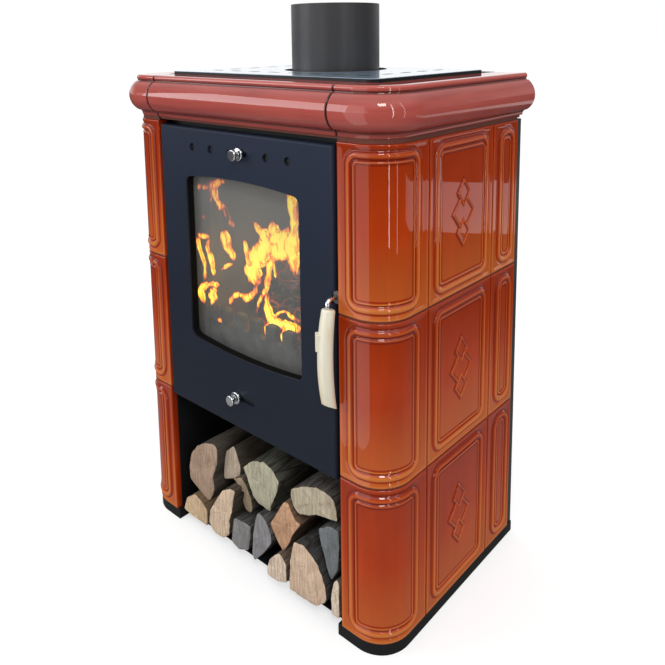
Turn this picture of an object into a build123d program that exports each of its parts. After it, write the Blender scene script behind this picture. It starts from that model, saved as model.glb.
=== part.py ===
"""A free-standing wood stove clad in moulded, glazed tiles, with a glazed door over a wood store.

Frame: X to the right, the door faces -Y, Z up.  The origin is on the floor under the middle of the plan.
All lengths are millimetres.  A "depth" is measured from the front face of the tiles towards the back.
"""
import math
import os

from build123d import *

os.makedirs("parts", exist_ok=True)

# ---------------------------------------------------------------- driving dimensions

# Overall body
body_width = 560.0
body_depth = 365.0
corner_tile_width = 82.0
corner_radius = 52.0
running_gap = 0.3
sheet = 2.0

# Plinth and wood store
plinth_height = 18.0
plinth_wall = 3.0
plinth_foot_inset = 7.0
plinth_setback = 25.0
plinth_strap = 40.0
store_height = 226.0
store_edge_depth = 10.0

# Tiles, three courses on each side
tile_height = 237.0
tile_joint = 2.4
tile_courses = 3
tile_wall = 9.0
tile_rim = 16.0
tile_rim_wall = 7.0
corner_tile_depth = 94.3
narrow_tile_width = 77.3
tiles_back_margin = 15.5

# Relief of the tiles
bead_radius = 4.0
bead_sink = 1.2
bead_margin_height = 15.0
corner_bead_turn = 10.0
corner_bead_front = 19.0
corner_bead_side = 25.0
full_bead_turn = 15.0
full_bead_margin = 19.0
narrow_bead_turn = 16.0
narrow_bead_front = 22.0
narrow_bead_rear = 14.5
panel_gap = 10.4
panel_rise = 1.8
panel_seat = 1.0
panel_corner = 6.0
panel_border = 3.6
field_rise = 0.7
field_corner = 2.4
lozenge_half_width = 27.0
lozenge_half_height = 29.0
lozenge_band = 3.4
lozenge_rise = 1.6
small_lozenge_half_width = 15.0
small_lozenge_half_height = 18.0
small_lozenge_height = 29.0

# Cornice
cornice_height = 67.8
cornice_bulge = 21.0
cornice_cove_height = 9.0
cornice_cove_out = 8.0
cornice_round_top = 57.0
cornice_round_out = 8.5
cornice_fascia_out = 6.5
cornice_groove = 1.8
cornice_width = 50.0
cornice_wall = 10.0
cornice_joint = 1.6
ring_sheet = 4.5

# Top plate and flue
top_plate_side_margin = 55.0
top_plate_front_depth = 48.0
top_plate_back_margin = 25.0
top_plate_thickness = 5.0
top_plate_corner = 16.0
top_plate_edge = 1.25
slot_length = 25.0
slot_width = 9.0
slot_pitch = 46.0
slot_inset = 55.0
slots_front = 8
slots_side = 4
flue_diameter = 150.0
flue_wall = 2.0
flue_back_margin = 137.3
flue_top = 923.0
flue_ring_gap = 13.0
collar_height = 30.0
collar_clearance = 0.3

# Door
door_gap_side = 6.0
door_gap_top = 5.8
door_gap_bottom = 0.5
door_proud = 1.5
door_sheet = 3.0
door_return = 13.5
door_bend_radius = 4.0
window_side = 64.0
window_drop = 73.0
window_rise = 120.5
window_bow = 8.0
window_corner = 12.0
vent_diameter = 13.0
vent_spacings = (62.5, 107.5)
vent_drop = 20.0
low_knob_rise = 38.0
knob_slot_travel = 38.0
knob_stem_radius = 3.0
knob_slot_play = 1.0
high_knob_x = 7.0
low_knob_x = -17.0
vent_shut_offset = 18.0

# Door lining
lining_width = 16.0
lining_depth = 10.0
gasket_thickness = 2.0
glass_thickness = 4.0
rope_side = 27.0
rope_rise = 15.5
rope_drop = 11.0
rope_width = 10.0
rope_channel_wall = 2.0
rope_seat_depth = 14.0
rope_proud = 4.0

# Air slides
slide_thickness = 2.0
slide_height = 20.0
slide_side = 29.0
low_slide_half_length = 70.0
guide_lip = 2.6
guide_lip_thickness = 1.5

# Knobs
knob_base_radius = 10.0
knob_face_radius = 8.6
knob_waist_radius = 5.0
knob_length = 17.0
knob_disc = 4.5
knob_base_disc = 5.5
knob_edge = 1.0

# Front frame and firebox
frame_depth = 25.0
frame_sheet = 3.0
opening_side = 10.0
opening_rise = 10.0
opening_drop = 13.0
shell_side = 15.0
shell_wall = 4.0
shell_back_margin = 40.0
shell_rise = 18.0
shelf_rise = 58.0
shelf_sheet = 4.0
brick_side = 28.0
brick_back = 28.0
brick_floor = 28.0
brick_front_depth = 54.0
baffle_drop = 82.0
baffle_thickness = 20.0
baffle_length = 191.0
grate_width = 178.0
grate_length = 168.0
grate_thickness = 12.0
grate_back_gap = 24.0
grate_slots = 7
guard_depth = 40.0
guard_thickness = 12.0
guard_height = 81.0
guard_side_gap = 1.0
guard_pitch = 38.0
guard_tooth = 23.5
guard_notch = 27.0
guard_round = 5.8

# Ash pan
pan_side_gap = 66.0
pan_front_depth = 62.0
pan_back_margin = 21.0
pan_height = 52.0
pan_wall = 2.0
pan_corner = 6.0
pan_lip = 14.0

# Hinge
hinge_inset = 8.5
hinge_depth = 8.0
hinge_pin_radius = 3.0
hinge_barrel_radius = 5.0
hinge_bore_clearance = 0.05
hinge_knuckle = 16.0
hinge_rise = 83.5
hinge_drop = 88.0
hinge_arm_width = 5.0

# Latch lever
latch_height = 518.0
latch_radius = 3.5
latch_clearance = 0.05
latch_rear_depth = 20.0
latch_block_reach = 15.0
latch_block_gap = 1.2
latch_block_height = 18.0
latch_bend = 9.0
grip_depth_top = 16.0
grip_depth_middle = 24.0
grip_depth_end = 15.5
grip_drop = 11.0
grip_length = 146.0
grip_shift = 2.5
grip_radius = 11.0
grip_end_radius = 9.5
grip_end_edge = 3.0
grip_toe_edge = 1.2
grip_end_slant = 30.0
grip_bore_length = 30.0
thumb_rest_along = 0.3
thumb_rest_height = 24.0
thumb_rest_width = 12.0
thumb_rest_rise = 3.0
thumb_rest_turn = -45.0
thumb_rest_edge = 1.2
cam_reach = 13.0
cam_thickness = 5.0
cam_width = 10.0

# Back
back_sheet = 1.5
back_flange_gap = 1.0
back_inset = 2.0
back_slot_length = 60.0
back_slot_width = 6.0
back_slot_pitch = 16.0
back_slot_rows = 8
back_slot_columns = 4
back_slot_spacing = 100.0

# Rails that carry the tiles
rail_sheet = 2.0
rail_width = 30.0

# ---------------------------------------------------------------- values that follow

side_x = body_width / 2
front_y = -body_depth / 2
opening_x = side_x - corner_tile_width
door_opening = 2 * opening_x
plinth_foot_inner = opening_x - plinth_foot_inset
flue_radius = flue_diameter / 2


def at_depth(depth):
    """The Y of a place that lies the given depth behind the front face of the tiles."""
    return front_y + depth


rear_y = at_depth(body_depth)
tile_pitch = tile_height + tile_joint
tile_top = plinth_height + tile_courses * tile_pitch - tile_joint
ring_bottom = tile_top + tile_joint
cornice_bottom = ring_bottom + ring_sheet
cornice_top = cornice_bottom + cornice_height
tiles_end = body_depth - tiles_back_margin
full_tile_start = corner_tile_depth + tile_joint
narrow_tile_start = tiles_end - narrow_tile_width
full_tile_width = narrow_tile_start - tile_joint - full_tile_start
top_plate_half_width = side_x - top_plate_side_margin
top_plate_rear_depth = body_depth - top_plate_back_margin
flue_depth = body_depth - flue_back_margin
grip_top = latch_height - grip_drop
grip_bottom = grip_top - grip_length
wall_outer = opening_x - 1.0
wall_inner = wall_outer - sheet
frame_rear = frame_depth + frame_sheet
store_ceiling_bottom = plinth_height + store_height
store_ceiling_top = store_ceiling_bottom + sheet
bulkhead_depth = cornice_width + 1.0

# The door hangs between the corner tiles, above the wood store
door_half_width = opening_x - door_gap_side
door_bottom = store_ceiling_top + door_gap_bottom
door_top = tile_top - door_gap_top
door_height = door_top - door_bottom
door_back = door_sheet - door_proud
window_width = 2 * (door_half_width - window_side)
window_height = door_height - window_drop - window_rise
window_centre_height = (door_bottom + window_rise + door_top - window_drop) / 2
rope_half_width = door_half_width - rope_side
rope_bottom = door_bottom + rope_rise
rope_top = door_top - rope_drop
vent_height = rope_top - vent_drop
low_knob_height = rope_bottom + low_knob_rise
slide_half_length = rope_half_width - slide_side
hinge_heights = (door_bottom + hinge_rise, door_top - hinge_drop)
latch_x = door_half_width
latch_block_left = latch_x - latch_block_reach
latch_block_right = opening_x - latch_block_gap
grip_x = latch_x + grip_shift

# The firebox stands behind the door
opening_half_width = rope_half_width - opening_side
opening_bottom = rope_bottom + opening_rise
opening_top = rope_top - opening_drop
shell_half_width = opening_half_width + shell_side
shell_top = opening_top + shell_rise
shell_rear_depth = body_depth - shell_back_margin
shelf_height = opening_bottom + shelf_rise
baffle_height = shell_top - baffle_drop
pan_half_width = shell_half_width - shell_wall - pan_side_gap
pan_rear_depth = shell_rear_depth - shell_wall - pan_back_margin
hinge_x = -door_half_width + hinge_inset
hinge_y = at_depth(hinge_depth)


def finish(piece, name):
    """Label a finished piece and write it."""
    piece.part.label = name
    export_step(piece.part, f"parts/{name}.step")


def block(x_low, x_high, depth_low, depth_high, z_low, z_high):
    """A plain rectangular solid between two corners, in the frame of the stove."""
    middle = Pos((x_low + x_high) / 2, at_depth((depth_low + depth_high) / 2), (z_low + z_high) / 2)
    return middle * Box(x_high - x_low, depth_high - depth_low, z_high - z_low, mode=Mode.PRIVATE)


def front_plane(depth, height=0.0):
    """A sketch plane that faces the front: its x is X, its y is Z."""
    return Plane(origin=(0, at_depth(depth), height), x_dir=(1, 0, 0), z_dir=(0, -1, 0))


# ---------------------------------------------------------------- plinth and store


def plan_outline(inset, rear_depth):
    """Half of the plan of the body, right side, with its rounded front corner, inset all round."""
    radius = corner_radius - inset
    with BuildLine() as line:
        Polyline(
            (0, at_depth(rear_depth)),
            (0, at_depth(inset)),
            (side_x - corner_radius, at_depth(inset)),
        )
        CenterArc((side_x - corner_radius, at_depth(corner_radius)), radius, -90, 90)
        Polyline(
            (side_x - inset, at_depth(corner_radius)),
            (side_x - inset, at_depth(rear_depth)),
            (0, at_depth(rear_depth)),
        )
    return line


with BuildPart() as plinth:
    with BuildSketch(Plane.XY):
        add(make_face(plan_outline(0, body_depth).line))
        mirror(about=Plane.YZ)
        with Locations((0, at_depth(plinth_setback / 2))):
            Rectangle(2 * plinth_foot_inner, plinth_setback, mode=Mode.SUBTRACT)
    extrude(amount=plinth_height)
    with BuildSketch(Plane.XY):
        add(make_face(plan_outline(plinth_wall, body_depth - plinth_wall).line))
        mirror(about=Plane.YZ)
        with Locations((0, at_depth((plinth_setback + plinth_wall) / 2))):
            Rectangle(
                2 * (plinth_foot_inner + plinth_wall),
                plinth_setback + plinth_wall,
                mode=Mode.SUBTRACT,
            )
    extrude(amount=plinth_height - plinth_wall, mode=Mode.SUBTRACT)
    with Locations((0, 0, plinth_wall / 2)):
        Box(body_width - plinth_wall, plinth_strap, plinth_wall)
finish(plinth, "plinth")

with BuildPart() as store_floor:
    add(
        block(
            -wall_inner,
            wall_inner,
            store_edge_depth,
            body_depth - sheet,
            plinth_height,
            plinth_height + sheet,
        )
    )
finish(store_floor, "store_floor")

with BuildPart() as store_ceiling:
    add(
        block(
            -wall_inner,
            wall_inner,
            store_edge_depth,
            body_depth - sheet,
            store_ceiling_bottom,
            store_ceiling_top,
        )
    )
finish(store_ceiling, "store_ceiling")

# ---------------------------------------------------------------- side walls

wall_top = cornice_top - sheet
wall_rear = body_depth - back_sheet

with BuildPart() as side_wall_right:
    with BuildSketch(Plane(origin=(wall_inner, 0, 0), x_dir=(0, 1, 0), z_dir=(1, 0, 0))):
        with BuildLine():
            Polyline(
                (at_depth(store_edge_depth), plinth_height),
                (at_depth(wall_rear), plinth_height),
                (at_depth(wall_rear), wall_top),
                (at_depth(bulkhead_depth), wall_top),
                (at_depth(bulkhead_depth), ring_bottom),
                (at_depth(frame_rear), ring_bottom),
                (at_depth(frame_rear), store_ceiling_top),
                (at_depth(store_edge_depth), store_ceiling_top),
                close=True,
            )
        make_face()
    extrude(amount=sheet)
finish(side_wall_right, "side_wall_right")

with BuildPart() as side_wall_left:
    mirror(side_wall_right.part, about=Plane.YZ)
finish(side_wall_left, "side_wall_left")

# ---------------------------------------------------------------- front frame

frame_bottom = store_ceiling_top
opening_height = opening_top - opening_bottom
opening_centre = (opening_top + opening_bottom) / 2

with BuildPart() as front_frame:
    with BuildSketch(front_plane(frame_rear)):
        with Locations((0, (frame_bottom + ring_bottom) / 2)):
            Rectangle(2 * wall_outer, ring_bottom - frame_bottom)
        with Locations((0, opening_centre)):
            RectangleRounded(2 * opening_half_width, opening_height, window_corner, mode=Mode.SUBTRACT)
    extrude(amount=frame_sheet)
finish(front_frame, "front_frame")

# ---------------------------------------------------------------- firebox

shell_bottom = opening_bottom - shell_wall
shell_depth = shell_rear_depth - frame_rear
collar_radius = flue_radius - flue_wall - collar_clearance
pan_floor = shell_bottom + shell_wall

with BuildPart() as firebox_shell:
    add(block(-shell_half_width, shell_half_width, frame_rear, shell_rear_depth, shell_bottom, shell_top))
    add(
        block(
            -shell_half_width + shell_wall,
            shell_half_width - shell_wall,
            frame_rear - shell_wall,
            shell_rear_depth - shell_wall,
            pan_floor,
            shell_top - shell_wall,
        ),
        mode=Mode.SUBTRACT,
    )
    with BuildSketch(Plane.XY.offset(shell_top - shell_wall)):
        with Locations((0, at_depth(flue_depth))):
            Circle(collar_radius)
    extrude(amount=shell_wall, mode=Mode.SUBTRACT)
finish(firebox_shell, "firebox_shell")

with BuildPart() as flue_collar:
    with BuildSketch(Plane.XY.offset(shell_top - shell_wall)):
        with Locations((0, at_depth(flue_depth))):
            Circle(collar_radius)
            Circle(collar_radius - flue_wall, mode=Mode.SUBTRACT)
    extrude(amount=shell_wall + collar_height)
finish(flue_collar, "flue_collar")

inner_x = shell_half_width - shell_wall
inner_rear = shell_rear_depth - shell_wall
shelf_top = shelf_height + shelf_sheet
brick_rear_depth = inner_rear - brick_back
grate_depth = brick_rear_depth - grate_back_gap - grate_length / 2
grate_y = at_depth(grate_depth)
grate_rest = 10.0

with BuildPart() as ash_shelf:
    add(block(-inner_x, inner_x, frame_rear, inner_rear, shelf_height, shelf_top))
    with BuildSketch(Plane.XY.offset(shelf_height)):
        with Locations((0, grate_y)):
            Rectangle(grate_width - 2 * grate_rest, grate_length - 2 * grate_rest)
    extrude(amount=shelf_sheet, mode=Mode.SUBTRACT)
finish(ash_shelf, "ash_shelf")

grate_play = 1.0

with BuildPart() as firebrick_floor:
    add(
        block(
            -inner_x + brick_side,
            inner_x - brick_side,
            brick_front_depth,
            brick_rear_depth,
            shelf_top,
            shelf_top + brick_floor,
        )
    )
    with BuildSketch(Plane.XY.offset(shelf_top + brick_floor)):
        with Locations((0, grate_y)):
            Rectangle(grate_width + 2 * grate_play, grate_length + 2 * grate_play)
    extrude(amount=-brick_floor, mode=Mode.SUBTRACT)
finish(firebrick_floor, "firebrick_floor")

brick_gap = 0.5
back_brick_x = inner_x - brick_side - brick_gap

with BuildPart() as firebrick_walls:
    add(block(inner_x - brick_side, inner_x, brick_front_depth, inner_rear, shelf_top, baffle_height))
    mirror(about=Plane.YZ)
    add(block(-back_brick_x, back_brick_x, brick_rear_depth, inner_rear, shelf_top, baffle_height))
finish(firebrick_walls, "firebrick_walls")

baffle_front_depth = inner_rear - baffle_length
baffle_top = baffle_height + baffle_thickness

with BuildPart() as baffle:
    add(block(-inner_x, inner_x, baffle_front_depth, inner_rear, baffle_height, baffle_top))
    front_edges = baffle.edges().filter_by(Axis.X).group_by(Axis.Y)[0]
    chamfer(front_edges.sort_by(Axis.Z)[0:1], baffle_thickness / 2)
finish(baffle, "baffle")

grate_slot_width = 10.0
grate_slot_length = 130.0
grate_slot_pitch = 22.0

with BuildPart() as grate:
    with BuildSketch(Plane.XY.offset(shelf_top)):
        with Locations((0, grate_y)):
            RectangleRounded(grate_width, grate_length, grate_play)
    extrude(amount=grate_thickness)
    with BuildSketch(Plane.XY.offset(shelf_top)):
        with Locations((0, grate_y)):
            with GridLocations(grate_slot_pitch, 0, grate_slots, 1):
                SlotOverall(grate_slot_length, grate_slot_width, rotation=90)
    extrude(amount=grate_thickness, mode=Mode.SUBTRACT)
finish(grate, "grate")

# The toothed guard that keeps the logs behind the glass
guard_notch_width = guard_pitch - guard_tooth
guard_top = shelf_top + guard_height
guard_half_width = inner_x - brick_side - guard_side_gap
guard_notches = int(2 * guard_half_width // guard_pitch)

with BuildPart() as log_guard:
    with BuildSketch(front_plane(guard_depth + guard_thickness)):
        with Locations((0, (shelf_top + guard_top) / 2)):
            Rectangle(2 * guard_half_width, guard_top - shelf_top)
        with Locations((0, guard_top)):
            with GridLocations(guard_pitch, 0, guard_notches, 1):
                SlotOverall(2 * guard_notch, guard_notch_width, rotation=90, mode=Mode.SUBTRACT)
    extrude(amount=guard_thickness)
    tooth_tops = log_guard.edges().filter_by(Axis.Y).group_by(Axis.Z)[-1]
    fillet(tooth_tops, guard_round)
finish(log_guard, "log_guard")

# ---------------------------------------------------------------- ash pan

pan_bottom = pan_floor + running_gap

with BuildPart() as ash_pan:
    add(block(-pan_half_width, pan_half_width, pan_front_depth, pan_rear_depth, pan_bottom, pan_bottom + pan_height))
    upright = ash_pan.edges().filter_by(Axis.Z)
    fillet(upright, pan_corner)
    offset(amount=-pan_wall, openings=ash_pan.faces().sort_by(Axis.Z)[-1])
    add(
        block(
            -pan_lip,
            pan_lip,
            pan_front_depth - pan_lip,
            pan_front_depth + pan_wall,
            pan_bottom + pan_height - pan_wall,
            pan_bottom + pan_height,
        )
    )
finish(ash_pan, "ash_pan")

# ---------------------------------------------------------------- top ring and deck

ring_inset = 4.0

with BuildPart() as top_ring:
    with BuildSketch(Plane.XY.offset(ring_bottom)):
        add(make_face(plan_outline(ring_inset, wall_rear).line))
        mirror(about=Plane.YZ)
        with Locations((0, at_depth((bulkhead_depth + wall_rear) / 2))):
            Rectangle(2 * (wall_outer + running_gap), wall_rear - bulkhead_depth + running_gap, mode=Mode.SUBTRACT)
    extrude(amount=ring_sheet)
finish(top_ring, "top_ring")

deck_gap = 1.0
deck_half_width = side_x - cornice_width - deck_gap
deck_front_depth = cornice_width + deck_gap
flue_y = at_depth(flue_depth)
deck_opening_margin = 30.0

with BuildPart() as top_deck:
    with BuildSketch(Plane.XY.offset(wall_top)):
        with Locations((0, at_depth((deck_front_depth + wall_rear) / 2))):
            Rectangle(2 * deck_half_width, wall_rear - deck_front_depth)
        with Locations((0, flue_y)):
            Circle(flue_radius + flue_ring_gap, mode=Mode.SUBTRACT)
        with Locations((0, at_depth(top_plate_front_depth + slot_inset))):
            Rectangle(slots_front * slot_pitch, deck_opening_margin, mode=Mode.SUBTRACT)
    extrude(amount=sheet)
    add(block(-wall_inner, wall_inner, bulkhead_depth, bulkhead_depth + sheet, ring_bottom, wall_top))
finish(top_deck, "top_deck")

plate_depth = top_plate_rear_depth - top_plate_front_depth
plate_y = at_depth((top_plate_rear_depth + top_plate_front_depth) / 2)
side_slot_x = top_plate_half_width - slot_inset
front_slot_y = at_depth(top_plate_front_depth + slot_inset)
side_slot_y = front_slot_y + slot_pitch * (slots_side + 1) / 2

with BuildPart() as top_plate:
    with BuildSketch(Plane.XY.offset(cornice_top)):
        with Locations((0, plate_y)):
            RectangleRounded(2 * top_plate_half_width, plate_depth, top_plate_corner)
        with Locations((0, flue_y)):
            Circle(flue_radius + flue_ring_gap, mode=Mode.SUBTRACT)
        with Locations((0, front_slot_y)):
            with GridLocations(slot_pitch, 0, slots_front, 1):
                SlotOverall(slot_length, slot_width, mode=Mode.SUBTRACT)
        with Locations((0, side_slot_y)):
            with GridLocations(2 * side_slot_x, slot_pitch, 2, slots_side):
                SlotOverall(slot_length, slot_width, rotation=90, mode=Mode.SUBTRACT)
    extrude(amount=top_plate_thickness)
    fillet(top_plate.faces().sort_by(Axis.Z)[-1].outer_wire().edges(), top_plate_edge)
finish(top_plate, "top_plate")

with BuildPart() as flue_pipe:
    with BuildSketch(Plane.XY.offset(shell_top)):
        with Locations((0, flue_y)):
            Circle(flue_radius)
            Circle(flue_radius - flue_wall, mode=Mode.SUBTRACT)
    extrude(amount=flue_top - shell_top)
finish(flue_pipe, "flue_pipe")

# ---------------------------------------------------------------- cornice


def cornice_profile(start_x):
    """The moulded section of the cornice: x runs outward from the tile face, y runs up from its foot."""
    section_plane = Plane(origin=(start_x, front_y, cornice_bottom), x_dir=(0, -1, 0), z_dir=(-1, 0, 0))
    with BuildSketch(section_plane) as section:
        with BuildLine():
            foot = (0, 0)
            cove_end = (cornice_cove_out, cornice_cove_height)
            round_end = (cornice_round_out, cornice_round_top)
            round_middle = (cornice_bulge, (cornice_cove_height + cornice_round_top) / 2)
            groove = (cornice_round_out - 2 * cornice_groove, cornice_round_top + cornice_groove)
            fascia = (cornice_fascia_out, cornice_round_top + 2 * cornice_groove)
            shoulder = (cornice_fascia_out, cornice_height - 2 * cornice_groove)
            lip = (cornice_fascia_out - 2 * cornice_groove, cornice_height)
            cove_middle = (
                cornice_cove_out * (1 - math.cos(math.pi / 4)),
                cornice_cove_height * math.sin(math.pi / 4),
            )
            ThreePointArc(foot, cove_middle, cove_end)
            ThreePointArc(cove_end, round_middle, round_end)
            Polyline(round_end, groove, fascia, shoulder)
            RadiusArc(shoulder, lip, -2 * cornice_groove)
            Polyline(lip, (-cornice_width, cornice_height), (-cornice_width, 0), foot)
        make_face()
        with BuildLine():
            Polyline(
                (-cornice_wall, 0),
                (-cornice_wall, cornice_cove_height + cornice_wall),
                (cornice_bulge - 2 * cornice_wall, cornice_cove_height + 2 * cornice_wall),
                (cornice_bulge - 2 * cornice_wall, cornice_height - 2 * cornice_wall),
                (-cornice_wall, cornice_height - cornice_wall),
                (cornice_wall - cornice_width, cornice_height - cornice_wall),
                (cornice_wall - cornice_width, 0),
                close=True,
            )
        make_face(mode=Mode.SUBTRACT)
    return section


arc_x = side_x - corner_radius
arc_y = at_depth(corner_radius)
joint_x = opening_x + cornice_joint / 2

with BuildPart() as cornice_front:
    extrude(
        cornice_profile(cornice_joint - joint_x).sketch,
        amount=door_opening - cornice_joint,
        dir=(1, 0, 0),
    )
finish(cornice_front, "cornice_front")

with BuildPart() as cornice_right:
    with BuildLine() as cornice_path:
        Line((joint_x, front_y, cornice_bottom), (arc_x, front_y, cornice_bottom))
        CenterArc((arc_x, arc_y, cornice_bottom), corner_radius, -90, 90)
        Line((side_x, arc_y, cornice_bottom), (side_x, rear_y, cornice_bottom))
    sweep(sections=cornice_profile(joint_x).sketch, path=cornice_path.wire())
finish(cornice_right, "cornice_right")

with BuildPart() as cornice_left:
    mirror(cornice_right.part, about=Plane.YZ)
finish(cornice_left, "cornice_left")

# ---------------------------------------------------------------- tiles


def tube_along(path):
    """A round bead that follows a closed path."""
    with BuildPart() as bead:
        with BuildSketch(Plane(origin=path @ 0, z_dir=path % 0)):
            Circle(bead_radius)
        sweep(path=path)
    return bead.part


def ring_path(to_place, width_start, width_end, half_height, turn):
    """A rounded rectangle whose corners are placed by a function of (along, up)."""
    height_start = -half_height
    height_end = half_height
    bend = turn * (1 - math.cos(math.pi / 4))
    with BuildLine() as line:
        Line(to_place(width_start, height_start + turn), to_place(width_start, height_end - turn))
        ThreePointArc(
            to_place(width_start, height_end - turn),
            to_place(width_start + bend, height_end - bend),
            to_place(width_start + turn, height_end),
        )
        Line(to_place(width_start + turn, height_end), to_place(width_end - turn, height_end))
        ThreePointArc(
            to_place(width_end - turn, height_end),
            to_place(width_end - bend, height_end - bend),
            to_place(width_end, height_end - turn),
        )
        Line(to_place(width_end, height_end - turn), to_place(width_end, height_start + turn))
        ThreePointArc(
            to_place(width_end, height_start + turn),
            to_place(width_end - bend, height_start + bend),
            to_place(width_end - turn, height_start),
        )
        Line(to_place(width_end - turn, height_start), to_place(width_start + turn, height_start))
        ThreePointArc(
            to_place(width_start + turn, height_start),
            to_place(width_start + bend, height_start + bend),
            to_place(width_start, height_start + turn),
        )
    return line.wire()


def side_tile(start, width, bead_front, bead_rear, bead_turn, ornament):
    """A flat tile on the right side, lowest course; the bead keeps its distance from the front and the rear."""
    middle_y = at_depth(start + width / 2)
    middle_z = plinth_height + tile_height / 2
    face = Plane(origin=(side_x, middle_y, middle_z), x_dir=(0, 1, 0), z_dir=(1, 0, 0))
    bead_shift = (bead_front - bead_rear) / 2
    half_width = (width - bead_front - bead_rear) / 2
    half_height = tile_height / 2 - bead_margin_height
    panel_width = 2 * (half_width - panel_gap)
    panel_height = 2 * (half_height - panel_gap)

    def on_face(along, up):
        return (side_x - bead_sink, middle_y + along, middle_z + up)

    bead = tube_along(
        ring_path(on_face, bead_shift - half_width, bead_shift + half_width, half_height, bead_turn)
    )
    with BuildPart() as tile:
        with BuildSketch(face):
            Rectangle(width, tile_height)
        extrude(amount=-tile_rim)
        with BuildSketch(face.offset(-tile_rim)):
            Rectangle(width - 2 * tile_rim_wall, tile_height - 2 * tile_rim_wall)
        extrude(amount=tile_rim - tile_wall, mode=Mode.SUBTRACT)
        add(bead)
        with BuildSketch(face.offset(-panel_seat)):
            with Locations((bead_shift, 0)):
                RectangleRounded(panel_width, panel_height, panel_corner)
        extrude(amount=panel_seat + panel_rise)
        with BuildSketch(face.offset(panel_rise)):
            with Locations((bead_shift, 0)):
                RectangleRounded(panel_width - 2 * panel_border, panel_height - 2 * panel_border, field_corner)
        extrude(amount=field_rise - panel_rise, mode=Mode.SUBTRACT)
        if ornament:
            with BuildSketch(face):
                add(lozenge(lozenge_half_width, lozenge_half_height))
                with Locations((0, small_lozenge_height), (0, -small_lozenge_height)):
                    add(lozenge(small_lozenge_half_width, small_lozenge_half_height))
            extrude(amount=field_rise + lozenge_rise)
    return tile.part


def lozenge(half_width, half_height):
    """A rhombus made of a band of even width."""
    slope = half_height / half_width
    band_x = lozenge_band * math.hypot(1, slope) / slope
    band_y = band_x * slope
    with BuildSketch() as band:
        Polygon((-half_width, 0), (0, -half_height), (half_width, 0), (0, half_height))
        Polygon(
            (band_x - half_width, 0),
            (0, band_y - half_height),
            (half_width - band_x, 0),
            (0, half_height - band_y),
            mode=Mode.SUBTRACT,
        )
    return band.sketch


def corner_band(outer, inner, side_depth, height):
    """The plan of a band that follows the rounded corner, between two offsets from the tile face."""
    outer_radius = corner_radius + outer
    inner_radius = corner_radius + inner
    with BuildSketch(Plane.XY.offset(height)) as band:
        with BuildLine():
            Line((opening_x, front_y - outer), (arc_x, front_y - outer))
            CenterArc((arc_x, arc_y), outer_radius, -90, 90)
            Polyline(
                (side_x + outer, arc_y),
                (side_x + outer, at_depth(side_depth)),
                (side_x + inner, at_depth(side_depth)),
                (side_x + inner, arc_y),
            )
            CenterArc((arc_x, arc_y), inner_radius, 0, -90)
            Polyline((arc_x, front_y - inner), (opening_x, front_y - inner), (opening_x, front_y - outer))
        make_face()
    return band.sketch


def corner_slab(outer, inner, inset, turn):
    """A slab that follows the rounded corner within the bead, with its corners rounded."""
    front_x = opening_x + corner_bead_front + inset
    side_depth = corner_tile_depth - corner_bead_side - inset
    low = plinth_height + bead_margin_height + inset
    high = plinth_height + tile_height - bead_margin_height - inset
    with BuildPart() as slab:
        add(corner_band(outer, inner, side_depth, low))
        extrude(amount=high - low)
        add(block(opening_x, front_x, -corner_radius, corner_radius, low, high), mode=Mode.SUBTRACT)
        front_corners = slab.edges().filter_by(Axis.Y).group_by(Axis.X)[0]
        side_corners = slab.edges().filter_by(Axis.X).group_by(Axis.Y)[-1]
        fillet(front_corners + side_corners, turn)
    return slab.part


def corner_tile():
    """The tile that wraps round the right front corner, lowest course."""
    bead_left = opening_x + corner_bead_front
    bead_end = corner_tile_depth - corner_bead_side
    low = plinth_height + bead_margin_height
    high = plinth_height + tile_height - bead_margin_height
    turn = corner_bead_turn
    bend = turn * (1 - math.cos(math.pi / 4))
    radius = corner_radius - bead_sink
    diagonal = radius * math.cos(math.pi / 4)
    face_y = front_y + bead_sink
    face_x = side_x - bead_sink
    end_y = at_depth(bead_end)
    with BuildLine() as line:
        Line((bead_left, face_y, low + turn), (bead_left, face_y, high - turn))
        for level, rise in ((high, -1), (low, 1)):
            ThreePointArc(
                (bead_left, face_y, level + rise * turn),
                (bead_left + bend, face_y, level + rise * bend),
                (bead_left + turn, face_y, level),
            )
            Line((bead_left + turn, face_y, level), (arc_x, face_y, level))
            ThreePointArc(
                (arc_x, face_y, level),
                (arc_x + diagonal, arc_y - diagonal, level),
                (face_x, arc_y, level),
            )
            Line((face_x, arc_y, level), (face_x, end_y - turn, level))
            ThreePointArc(
                (face_x, end_y - turn, level),
                (face_x, end_y - bend, level + rise * bend),
                (face_x, end_y, level + rise * turn),
            )
        Line((face_x, end_y, high - turn), (face_x, end_y, low + turn))
    bead = tube_along(line.wire())
    with BuildPart() as tile:
        add(corner_band(0, -tile_wall, corner_tile_depth, plinth_height))
        extrude(amount=tile_height)
        add(
            block(
                opening_x,
                opening_x + tile_rim_wall,
                0,
                tile_rim,
                plinth_height,
                plinth_height + tile_height,
            )
        )
        add(
            block(
                side_x - tile_rim,
                side_x,
                corner_tile_depth - tile_rim_wall,
                corner_tile_depth,
                plinth_height,
                plinth_height + tile_height,
            )
        )
        add(bead)
        add(corner_slab(panel_rise, -panel_seat, panel_gap, panel_corner))
        field = corner_slab(panel_rise, field_rise, panel_gap + panel_border, field_corner)
        add(field, mode=Mode.SUBTRACT)
    return tile.part


tile_kinds = {
    "corner": corner_tile(),
    "full": side_tile(
        full_tile_start,
        full_tile_width,
        full_bead_margin,
        full_bead_margin,
        full_bead_turn,
        True,
    ),
    "narrow": side_tile(
        narrow_tile_start,
        narrow_tile_width,
        narrow_bead_front,
        narrow_bead_rear,
        narrow_bead_turn,
        False,
    ),
}
course_names = ("low", "middle", "high")

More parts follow.
